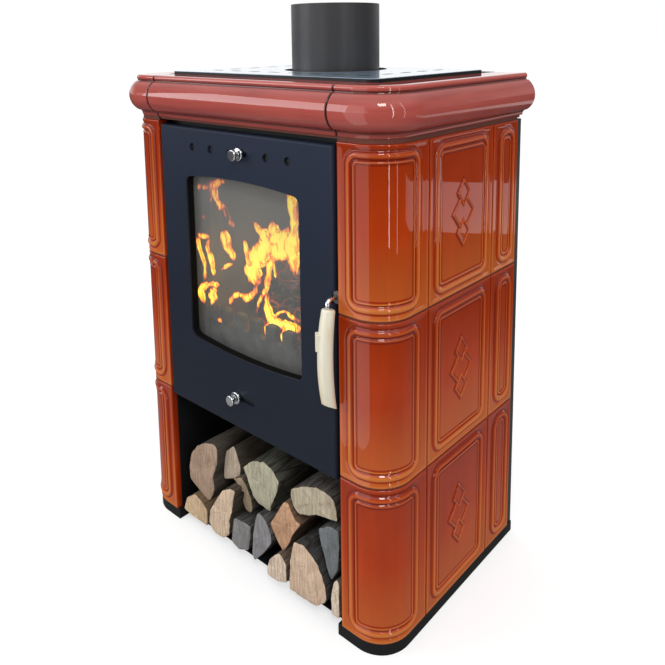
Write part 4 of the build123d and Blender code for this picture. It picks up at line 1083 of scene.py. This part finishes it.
def build_screws():
    """Screws round the back panel, so far in from its edges."""
    cfg = settings().metal
    low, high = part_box("back_panel")
    left, right = low.x + SCREW_INSET_X, high.x - SCREW_INSET_X
    foot, head = low.z + SCREW_INSET_Z, high.z - SCREW_INSET_Z
    upright = np.linspace(foot, head, round((high.z - low.z) / cfg.screw_pitch) + 1)
    level = np.linspace(left, right, round((high.x - low.x) / cfg.screw_pitch) + 1)[1:-1]
    spots = [(x, high.y, z) for x in (left, right) for z in upright]
    spots += [(x, high.y, z) for z in (foot, head) for x in level]
    values = {"Radius": cfg.screw_radius, "Height": 3.2 * MM, "Material": finish_named("zinc")}
    mesh = grown("back_screws", new_mesh("back_screw_spots", spots, []), screw_tree(), values)
    place("back_screws", mesh, None, "dark_steel", sharp=40)


def build_body():
    coat("sheet_paint", "store_floor", "store_ceiling", "side_wall_left", "side_wall_right", "top_deck", "front_frame")
    coat("back_sheet", "back_panel")
    coat("joint_putty", "tile_rails", "top_ring")
    softened("plinth", "sheet_paint")
    coat("sooted_steel", "firebox_shell", "flue_collar", "ash_shelf", "strike_plate", "hinge_brackets")
    coat("bright_steel", "hinge_pins")
    build_screws()


def build_top():
    plate = softened("top_plate", "plate_paint").data
    plate.materials.append(finish_named("sheet_paint"))
    for face in plate.polygons:
        face.material_index = int(abs(face.normal.z) < 0.5)
    softened("flue_pipe", "pipe_paint")


def build_door():
    softened("door_panel", "door_paint", "door")
    # the lining and the glass seal rope take near-black paint, partly a painted shadow round the window
    coat("lining_black", "door_lining", "glass_seal")
    coat("sooted_steel", "slide_guides", "hinge_leaves", "latch_bearing")
    coat("zinc", "glass_clips")
    coat("rope", "door_rope_seal")
    coat("window_pane", "window_glass")
    coat("sheet_paint", "high_air_slide", "low_air_slide")
    for name in ("high", "low"):
        softened(f"{name}_air_knob", "bright_steel", f"{name}_air", 0.4 * MM)


def build_latch():
    softened("latch_lever", "bright_steel", "latch", 0.0)
    softened("handle_grip", "grip_glaze", "latch", 0.0)


def build_firebox():
    coat("firebrick", "firebrick_walls", "firebrick_floor", "baffle")
    softened("grate", "cast_iron", width=0.8 * MM)
    softened("log_guard", "cast_iron", width=1.0 * MM)
    coat("sheet_paint", "ash_pan")


# ---------------------------------------------------------------- fire


# each layer: depth behind the tile face in mm, strength, and tongues as lines of (x, z, width) in mm
FLAMES = (
    (29, 0.5, [
        [(-98, 642, 14), (-98, 633, 22), (-97, 621, 18), (-81, 601, 16), (-63, 585, 12), (-52, 571, 10), (-49, 558, 5)],
        [(-145, 618, 1), (-130, 622, 14), (-111, 625, 14), (-90, 634, 16), (-72, 639, 9), (-58, 643, 1)],
        [(-98, 617, 7), (-104, 602, 5), (-110, 585, 1)],
        [(-123, 580, 2), (-125, 572, 10), (-125, 563, 2)],
    ]),
    (29, 0.95, [
        [(-142, 540, 8), (-140, 518, 12), (-127, 491, 9), (-127, 460, 5)],
        [(-107, 543, 7), (-118, 522, 13), (-106, 496, 11), (-103, 465, 5)],
        [(-144, 539, 6), (-124, 539, 12), (-106, 541, 6)],
        [(-69, 565, 4), (-70, 550, 21), (-64, 532, 20), (-53, 521, 14), (-50, 505, 7)],
        [(-49, 508, 2), (-69, 499, 8), (-89, 485, 1)],
        [(-81, 463, 3), (-100, 460, 10), (-122, 455, 12), (-139, 442, 14), (-136, 428, 14), (-128, 408, 2)],
        [(-105, 455, 22), (-108, 438, 19), (-111, 421, 8)],
        [(-95, 404, 2), (-92, 399, 10), (-85, 396, 2)],
    ]),
    (70, 0.9, [
        [(-39, 459, 13), (-64, 434, 14), (-89, 433, 10), (-107, 423, 10), (-119, 397, 3)],
        [(-73, 537, 3), (-67, 520, 11), (-63, 501, 11), (-55, 491, 14)],
    ]),
    (100, 1.0, [
        [(-82, 559, 2), (-67, 546, 14), (-52, 537, 28), (-46, 524, 39), (-67, 500, 39), (-82, 478, 31), (-83, 455, 33),
         (-76, 439, 26)],
        [(-32, 572, 3), (-34, 559, 21), (-25, 542, 27), (-19, 524, 33), (-33, 502, 18), (-44, 481, 13), (-48, 456, 13),
         (-55, 439, 9), (-74, 410, 8), (-86, 379, 3)],
        [(-8, 617, 2), (12, 613, 28), (15, 595, 22), (18, 580, 16), (18, 557, 19), (13, 533, 29), (16, 510, 26),
         (15, 482, 16)],
        [(5, 566, 3), (-6, 541, 28), (-10, 517, 36), (-7, 496, 13)],
        [(-33, 502, 3), (-30, 479, 5), (-28, 455, 4), (-22, 447, 2)],
    ]),
    (90, 1.1, [
        [(-38, 449, 9), (-40, 426, 14), (-36, 408, 18), (-26, 396, 20), (0, 396, 17), (25, 398, 17), (38, 395, 15)],
        [(-26, 398, 5), (-13, 413, 5), (4, 420, 5), (16, 415, 8), (35, 410, 6)],
    ]),
    (62, 0.9, [
        [(-6, 411, 10), (-12, 392, 12), (-11, 376, 9)],
        [(29, 413, 11), (27, 396, 13), (29, 378, 8)],
    ]),
)


def tongue_of_flame(depth, strength, tongue):
    """A thin lens-shaped ribbon along a line of (x, z, width) in mm, and how hard each of its points burns."""
    line = through(tongue, 8)
    line[:, 2] = np.maximum(line[:, 2], 0.6)
    along = np.gradient(line[:, :2], axis=0)
    along /= np.linalg.norm(along, axis=1)[:, None] + 1e-9
    share = np.linspace(0, 1, len(line))
    swell = np.array([1.15 + 0.55 * noise.noise(Vector((x * 0.09, z * 0.09, depth))) for x, z, _ in line])
    width = (line[:, 2] * swell)[:, None]
    angles = np.arange(14) * 2 * math.pi / 14
    u = np.cos(angles)
    x = line[:, :1] - along[:, 1:] * u * width / 2
    z = line[:, 1:2] + along[:, :1] * u * width / 2
    rings = np.stack([x * MM, at_depth(depth + np.sin(angles) * width * 0.16), z * MM], -1)
    peak = line[:, 2].max()
    end = np.minimum(1, 5 * np.minimum(share, 1 - share) + 0.15)[:, None]
    burn = strength * (1 - u * u) ** 0.8 * end * (0.6 + 0.4 * width / peak) * (0.7 + 0.3 * min(1, peak / 24))
    return lofted(rings), burn.ravel()


def flame_mesh(name):
    """All tongues of flame in one mesh with a burn value on each point."""
    shapes = [tongue_of_flame(depth, strength, tongue) for depth, strength, tongues in FLAMES for tongue in tongues]
    ribbons, burns = zip(*shapes)
    return outward(new_mesh(name, *joined(ribbons), {"burn": np.concatenate(burns)}))


def burning_log(name, centre, radius, length, yaw, tilt, seed):
    """A rough round log, lying down."""
    sides, rings = 36, 26
    turn = Matrix.Rotation(yaw, 3, "Z") @ Matrix.Rotation(tilt, 3, "Y")
    rows = []
    for k in range(rings):
        along = (k / (rings - 1) - 0.5) * length
        for i in range(sides):
            angle = 2 * math.pi * i / sides
            spot = Vector((along * 12, math.cos(angle) * 1.3, math.sin(angle) * 1.3 + seed))
            rough = 1 + 0.13 * noise.noise(spot) + 0.05 * noise.noise(spot * 5)
            point = Vector((along, math.cos(angle) * radius * rough, math.sin(angle) * radius * rough))
            rows.append(tuple(Vector(centre) + turn @ point))
    shape = lofted(np.array(rows).reshape(rings, sides, 3))
    place(name, outward(new_mesh(name, *shape)), "charred_wood", None, sharp=60)


EMBER_AREA = 0.0225


def ember_tree():
    """Coals scattered over the base mesh, each a squashed ball of its own size and turn."""
    g, source = pattern("embers", {"Count": "Int", "Size": "Float", "Material": "Material"})
    density = g.wire("ShaderNodeMath", {0: source["Count"], 1: EMBER_AREA}, operation="DIVIDE")
    bed = {"Mesh": source["Geometry"], "Density": density, "Seed": 7}
    points = g.wire("GeometryNodeDistributePointsOnFaces", bed, "Points", distribute_method="RANDOM")
    coal = g.wire("GeometryNodeMeshIcoSphere", {"Radius": source["Size"], "Subdivisions": 2})
    turn, size = (
        g.wire("FunctionNodeRandomValue", {0: least, 1: most, "Seed": seed}, data_type="FLOAT_VECTOR")
        for least, most, seed in (((0, 0, 0), (6.28, 6.28, 6.28), 3), ((0.5, 0.5, 0.4), (1.3, 1.0, 0.8), 5))
    )
    return scatter(g, source, points, coal, {"Rotation": turn, "Scale": size})


def build_fire():
    cfg = settings().fire
    if not cfg.show_fire:
        return
    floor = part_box("firebrick_floor")[1].z
    front, rear = (at_depth(68), floor + 4 * MM), (at_depth(230), floor + 6 * MM)
    corners = [(-0.1, *front), (0.1, *front), (0.1, *rear), (-0.1, *rear)]
    values = {"Count": cfg.ember_count, "Size": cfg.ember_size, "Material": finish_named("ember")}
    mesh = grown("fire_embers", new_mesh("ember_bed_base", corners, [(0, 1, 2, 3)]), ember_tree(), values)
    place("fire_embers", mesh, None, None, sharp=180)
    burning_log("fire_log_left", (-0.035, at_depth(170), floor + 0.036), 0.030, 0.19, 0.20, 0.0, 1.0)
    burning_log("fire_log_right", (0.030, at_depth(125), floor + 0.034), 0.027, 0.20, -0.12, 0.0, 5.0)
    burning_log("fire_log_top", (0.035, at_depth(150), floor + 0.088), 0.029, 0.17, 0.35, 0.06, 9.0)
    place("fire_flames", flame_mesh("fire_flames"), "flame", None, sharp=180)


# ---------------------------------------------------------------- firewood


# each log: depth of its front end and length in mm, colours of its ends and sides, whether barked, outline (x, z)
# the darker end colours of the upper logs 1 to 4 carry painted shade under the top of the store
FIREWOOD = {
    1: (14, 300, (0.38, 0.27, 0.20), (0.10, 0.085, 0.07), 0, [(-153, 153), (-129, 169), (-104, 177), (-94, 171),
        (-95, 144), (-108, 110), (-105, 87), (-117, 64), (-125, 58), (-137, 62), (-159, 72), (-175, 80), (-177, 104),
        (-170, 132)]),
    2: (30, 280, (0.46, 0.38, 0.30), (0.09, 0.075, 0.06), 0, [(-90, 162), (-69, 180), (-60, 165), (-52, 147),
        (-54, 125), (-98, 104), (-97, 130)]),
    3: (12, 310, (0.41, 0.40, 0.30), (0.10, 0.105, 0.085), 1, [(-26, 168), (-3, 189), (24, 199), (45, 194),
        (61, 177), (52, 151), (40, 127), (38, 114), (21, 118), (6, 118), (-4, 126), (-15, 148)]),
    4: (8, 320, (0.45, 0.40, 0.30), (0.10, 0.09, 0.085), 1, [(89, 183), (121, 202), (142, 210), (162, 210),
        (179, 204), (185, 186), (184, 173), (161, 168), (143, 164), (130, 156), (105, 147), (93, 154), (88, 169)]),
    5: (2, 300, (0.58, 0.43, 0.28), (0.20, 0.14, 0.08), 0, [(-182, 24), (-172, 52), (-146, 70), (-122, 61),
        (-112, 52), (-113, 22), (-140, 21)]),
    6: (0, 320, (0.62, 0.48, 0.36), (0.11, 0.085, 0.06), 1, [(-103, 60), (-80, 96), (-66, 115), (-46, 126),
        (-34, 126), (-39, 107), (-42, 87), (-50, 65), (-52, 36), (-70, 21), (-95, 21), (-108, 35)]),
    7: (18, 260, (0.30, 0.235, 0.165), (0.12, 0.095, 0.07), 1, [(-59, 131), (-38, 141), (-26, 131), (-17, 117),
        (-11, 102), (-15, 84), (-28, 84), (-36, 98), (-30, 112), (-33, 128)]),
    8: (0, 290, (0.20, 0.20, 0.21), (0.09, 0.09, 0.095), 1, [(-40, 76), (-19, 81), (3, 80), (3, 60), (-5, 32),
        (-28, 22), (-48, 28)]),
    9: (-2, 300, (0.24, 0.24, 0.265), (0.10, 0.10, 0.11), 1, [(22, 116), (35, 116), (47, 106), (55, 85), (54, 76),
        (34, 48), (12, 25), (7, 30), (9, 60), (14, 92)]),
    10: (4, 300, (0.52, 0.31, 0.19), (0.17, 0.10, 0.06), 0, [(77, 158), (88, 160), (93, 150), (102, 138), (114, 136),
         (96, 108), (87, 88), (74, 69), (62, 79), (51, 94), (44, 104), (59, 129)]),
    11: (-6, 300, (0.64, 0.53, 0.43), (0.16, 0.12, 0.09), 0, [(46, 36), (52, 53), (65, 67), (76, 75), (82, 70),
         (91, 60), (91, 30), (69, 21), (46, 21)]),
    12: (-5, 325, (0.60, 0.45, 0.34), (0.055, 0.055, 0.06), 1, [(107, 111), (126, 114), (141, 108), (155, 99),
         (163, 86), (172, 66), (172, 42), (153, 24), (124, 22), (94, 22), (96, 64), (100, 90)]),
    13: (2, 300, (0.14, 0.16, 0.175), (0.07, 0.075, 0.08), 1, [(151, 150), (167, 163), (182, 167), (192, 165),
         (192, 134), (191, 103), (177, 77), (171, 86), (162, 112), (154, 136)]),
    14: (0, 260, (0.64, 0.55, 0.45), (0.20, 0.16, 0.12), 0, [(179, 66), (184, 84), (190, 88), (193, 80), (193, 24),
         (178, 24), (177, 50)]),
}


def rough_outline(points, step):
    """A closed outline resampled at an even step, its corners a little eased."""
    p = np.array(points, float)
    p = np.vstack([p, p[:1]])
    lengths = np.concatenate([[0], np.cumsum(np.linalg.norm(np.diff(p, axis=0), axis=1))])
    count = max(16, round(lengths[-1] / step))
    marks = np.linspace(0, lengths[-1], count, endpoint=False)
    ring = np.stack([np.interp(marks, lengths, p[:, 0]), np.interp(marks, lengths, p[:, 1])], 1)
    return 0.5 * ring + 0.25 * np.roll(ring, 1, 0) + 0.25 * np.roll(ring, -1, 0)


STORE_FLOOR = 20.4
INNER_RINGS = (0.2, 0.4, 0.6, 0.8, 0.93)


def firewood_log(number, facts):
    """One split log: a sawn end towards the front, its outline drawn back into the store."""
    depth, length, end_tone, side_tone, barked, points = facts
    ring = rough_outline(points, 3.0)
    if np.sum(ring[:, 0] * np.roll(ring[:, 1], -1) - np.roll(ring[:, 0], -1) * ring[:, 1]) < 0:
        ring = ring[::-1]
    count = len(ring)
    middle = ring.mean(0)
    rough = 1.8 if barked else 0.9
    spots = []

    def end_rings(y, shares, sign):
        for share in shares:
            for x, z in ring:
                spot = Vector((x * 0.06, number * 3.1, z * 0.06))
                dent = noise.noise(spot) * 1.6 + noise.noise(spot * 6) * 0.5
                cx, cz = middle + (np.array([x, z]) - middle) * share
                spots.append((cx, y + sign * dent * (1 - share * 0.3) - sign * (1 - share) * 0.6, cz))

    end_rings(depth, INNER_RINGS, 1)
    for t in np.linspace(0, 1, 26):
        for x, z in ring:
            away = np.array([x, z]) - middle
            away = away / (np.linalg.norm(away) + 1e-6)
            spot = Vector((x * 0.09, t * length * 0.018 + number * 7.0, z * 0.09))
            push = noise.noise(spot) * rough + noise.noise(spot * 3.2) * rough * 0.45 - 1.4 - 1.5 * t
            spots.append((x + away[0] * push, depth + 0.8 + t * length, z + away[1] * push))
    end_rings(depth + 0.8 + length + 0.6, INNER_RINGS[::-1], -1)
    x, y, z = np.array(spots).T
    pith = middle + np.array([math.sin(number * 2.1), math.cos(number * 1.7)]) * 9
    rows = np.stack([x * MM, at_depth(y), np.maximum(z, STORE_FLOOR) * MM], -1).reshape(-1, count, 3)
    bands = len(rows) - 1
    is_end = [k < len(INNER_RINGS) or k >= bands - len(INNER_RINGS) for k in range(bands) for _ in range(count)]
    name = f"firewood_{number:02d}"
    mesh = outward(new_mesh(name, *lofted(rows), {"ring": np.hypot(x - pith[0], z - pith[1]) * MM}))
    sizes = np.zeros(len(mesh.polygons), int)
    mesh.polygons.foreach_get("loop_total", sizes)
    ends = np.repeat(np.array(is_end + [True, True], float), sizes)
    colours = np.ones((len(ends), 4))
    colours[:, :3] = np.where(ends[:, None] > 0.5, end_tone, side_tone)
    bark = np.full(len(ends), barked)
    for label, kind, field, values in (
        ("tone", "FLOAT_COLOR", "color", colours), ("end", "FLOAT", "value", ends), ("bark", "FLOAT", "value", bark)
    ):
        mesh.attributes.new(label, kind, "CORNER").data.foreach_set(field, values.astype(np.float32).ravel())
    place(name, mesh, "split_wood", None, sharp=48)


def build_firewood():
    if settings().fire.show_wood:
        for number, facts in FIREWOOD.items():
            firewood_log(number, facts)


# ---------------------------------------------------------------- stage


def lamp(name, spot, target, size, power, colour):
    """A square soft lamp that faces a point."""
    light = bpy.data.lights.new(name, "AREA")
    light.size, light.energy, light.color = size, power, colour
    holder = add_object(name, light)
    holder.location = spot
    holder.rotation_euler = (Vector(target) - Vector(spot)).to_track_quat("-Z", "Y").to_euler()
    return holder


def reflector(name, spot, target, width, height, power):
    """An upright card of light that shows only in gloss, as a studio's strips and cards do."""
    holder = lamp(name, spot, target, width, power, (1.0, 1.0, 1.0))
    holder.data.shape = "RECTANGLE"
    holder.data.size_y = height
    holder.visible_camera = False
    holder.visible_diffuse = False


def build_world():
    """White behind the stove, a soft sky for its light and a dim room with bright zones for its reflections."""
    cfg = settings().stage
    world = bpy.data.worlds.new("studio")
    bpy.context.scene.world = world
    world.use_nodes = True
    g = Graph(world.node_tree)
    g.tree.nodes.clear()
    seen, glossy = g.rays()
    parts = g.node("ShaderNodeSeparateXYZ", {0: g.node("ShaderNodeTexCoord").outputs["Generated"]})
    x, y, up = (Wire(g, output) for output in parts.outputs)
    sky = up.step(-0.2, 0.9) * 0.35 + cfg.sky * 0.85
    near_horizon = 1 - up.step(0.05, 0.55)
    behind = (x * -0.66 + y * 0.75).step(0.1, 0.7) * near_horizon
    front = (x * -0.375 + y * -0.927).step(0.76, 0.82) * near_horizon
    room = up.step(0.25, 0.85) * 1.1 + behind * 1.0 + front * 0.8 + 0.10
    level = sky * (1 - glossy) + room * glossy
    back = g.wire("ShaderNodeBackground", {"Color": (1.0, 1.0, 1.0), "Strength": level * (1 - seen) + seen})
    g.node("ShaderNodeOutputWorld", {"Surface": back})


def build_floor():
    """A pale floor that runs into the white background and looks dark in reflections."""
    count = 96
    points, faces = [(0, 0.1, 0)], [(0, 1 + i, 1 + (i + 1) % count) for i in range(count)]
    for radius in (1.5, 4.0, 12.0, 60.0):
        for angle in 2 * math.pi * np.arange(count) / count:
            points.append((radius * math.cos(angle), radius * math.sin(angle), 0))
    for a in range(1, len(points) - count, count):
        b = a + count
        faces += [(a + i, b + i, b + (i + 1) % count, a + (i + 1) % count) for i in range(count)]
    mesh = new_mesh("studio_floor", points, faces)
    f = Finish("studio_floor", {"Roughness": 0.9})
    seen, glossy = f.rays()
    away = f.wire("ShaderNodeVectorMath", {0: f.place}, "Value", operation="LENGTH")
    dim = f.mix(away.step(0.7, 1.4), (0.30, 0.30, 0.30), (0.06, 0.06, 0.06))
    glow = f.wire("ShaderNodeEmission", {"Color": (1, 1, 1), "Strength": seen * 0.60})
    f.surface("ShaderNodeAddShader", f.shader.outputs[0], glow)
    mesh.materials.append(f.set(Base_Color=f.mix(glossy, settings().stage.floor, dim)))
    add_object("studio_floor", mesh)


CAMERA_SPOT = (0.79357, -0.86536, 0.87087)
CAMERA_AXES = ((0.75108, 0.66010, -0.01199), (-0.08767, 0.11771, 0.98917), (0.65437, -0.74190, 0.14628))
CAMERA_SHIFT = -0.29115


def build_camera():
    """The photo's camera; its shift stands for the part that the photo was cut out of."""
    camera = bpy.data.cameras.new("photo_camera")
    camera.sensor_width = 36
    camera.sensor_fit = "HORIZONTAL"
    camera.lens = settings().stage.lens
    camera.shift_y = CAMERA_SHIFT
    camera.clip_start, camera.clip_end = 0.01, 200
    holder = add_object("photo_camera", camera)
    holder.matrix_world = Matrix.Translation(CAMERA_SPOT) @ Matrix(CAMERA_AXES).transposed().to_4x4()
    bpy.context.scene.camera = holder


def build_stage():
    cfg = settings().stage
    bpy.context.scene.view_settings.view_transform = "Standard"
    build_world()
    build_floor()
    build_camera()
    lamp("key_lamp", (1.7, -1.6, 2.7), (0.1, -0.1, 0.4), 0.7, cfg.key, (1.0, 0.99, 0.97))
    lamp("fill_lamp", (-2.2, -2.4, 1.5), (0.0, 0.0, 0.4), 1.6, cfg.fill, (0.93, 0.96, 1.0))
    reflector("strip_right", (1.72, -0.78, 1.0), (0.25, -0.17, 0.6), 0.06, 2.0, 4.5)
    reflector("strip_side", (1.75, -0.10, 1.0), (0.25, -0.17, 0.6), 0.05, 2.0, 1.5)
    reflector("card_left", (0.12, -0.66, 0.55), (0.25, -0.17, 0.55), 0.42, 1.1, 1.4)
    reflector("card_behind", (0.90, 1.00, 0.33), (0.28, 0.05, 0.46), 1.4, 0.16, 0.65)
    if settings().fire.show_fire:
        heart = bpy.data.lights.new("fire_lamp", "POINT")
        heart.energy, heart.color, heart.shadow_soft_size = 0.35, (1.0, 0.75, 0.55), 0.04
        add_object("fire_lamp", heart).location = (0.0, at_depth(120), 0.50)


# ---------------------------------------------------------------- add-on


class STOVE_OT_tiles(bpy.types.Operator):
    """Build the glazed tiles of both sides"""

    bl_idname = "stove.tiles"
    bl_label = "Tiles"

    def execute(self, context):
        build_tiles()
        build_joints()
        return {"FINISHED"}


class STOVE_OT_cornice(bpy.types.Operator):
    """Build the three glazed cornice lengths"""

    bl_idname = "stove.cornice"
    bl_label = "Cornice"

    def execute(self, context):
        build_cornice()
        return {"FINISHED"}


class STOVE_OT_body(bpy.types.Operator):
    """Finish the plinth, the store walls, the back panel and its screws"""

    bl_idname = "stove.body"
    bl_label = "Body"

    def execute(self, context):
        build_body()
        return {"FINISHED"}


class STOVE_OT_top(bpy.types.Operator):
    """Finish the top plate and the flue pipe"""

    bl_idname = "stove.top"
    bl_label = "Top plate and flue"

    def execute(self, context):
        build_top()
        return {"FINISHED"}


class STOVE_OT_door(bpy.types.Operator):
    """Finish the door, its glass, seals, slides and knobs"""

    bl_idname = "stove.door"
    bl_label = "Door"

    def execute(self, context):
        build_door()
        return {"FINISHED"}


class STOVE_OT_latch(bpy.types.Operator):
    """Build the latch rod and the grip"""

    bl_idname = "stove.latch"
    bl_label = "Latch and grip"

    def execute(self, context):
        build_latch()
        return {"FINISHED"}


class STOVE_OT_firebox(bpy.types.Operator):
    """Finish the bricks, the grate, the log guard and the ash pan"""

    bl_idname = "stove.firebox"
    bl_label = "Firebox"

    def execute(self, context):
        build_firebox()
        return {"FINISHED"}


class STOVE_OT_fire(bpy.types.Operator):
    """Build the burning logs, the embers and the flames"""

    bl_idname = "stove.fire"
    bl_label = "Fire"

    def execute(self, context):
        build_fire()
        return {"FINISHED"}


class STOVE_OT_firewood(bpy.types.Operator):
    """Build the split logs in the store"""

    bl_idname = "stove.firewood"
    bl_label = "Firewood"

    def execute(self, context):
        build_firewood()
        return {"FINISHED"}


class STOVE_OT_stage(bpy.types.Operator):
    """Build the floor, the light and the camera"""

    bl_idname = "stove.stage"
    bl_label = "Stage"

    def execute(self, context):
        build_stage()
        return {"FINISHED"}


OPERATORS = (
    STOVE_OT_tiles,
    STOVE_OT_cornice,
    STOVE_OT_body,
    STOVE_OT_top,
    STOVE_OT_door,
    STOVE_OT_latch,
    STOVE_OT_firebox,
    STOVE_OT_fire,
    STOVE_OT_firewood,
    STOVE_OT_stage,
)


class STOVE_PT_panel(bpy.types.Panel):
    """Lists the steps that dress the stove"""

    bl_idname = "STOVE_PT_panel"
    bl_label = "Tiled stove"
    bl_space_type = "VIEW_3D"
    bl_region_type = "UI"
    bl_category = "Stove"

    def draw(self, context):
        for step in OPERATORS:
            self.layout.operator(step.bl_idname)
        for name in ("tiles", "metal", "fire", "stage"):
            box = self.layout.box()
            box.label(text=name.capitalize())
            group = getattr(context.scene.stove, name)
            for key in group.__annotations__:
                box.prop(group, key)


CLASSES = (StoveTiles, StoveMetal, StoveFire, StoveStage, StoveSettings, *OPERATORS, STOVE_PT_panel)


def register():
    for item in CLASSES:
        bpy.utils.register_class(item)
    bpy.types.Scene.stove = PointerProperty(type=StoveSettings)


def unregister():
    del bpy.types.Scene.stove
    for item in reversed(CLASSES):
        bpy.utils.unregister_class(item)


def main():
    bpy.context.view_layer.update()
    register()
    for step in OPERATORS:
        getattr(bpy.ops.stove, step.bl_idname.split(".")[1])()


if __name__ == "__main__":
    main()
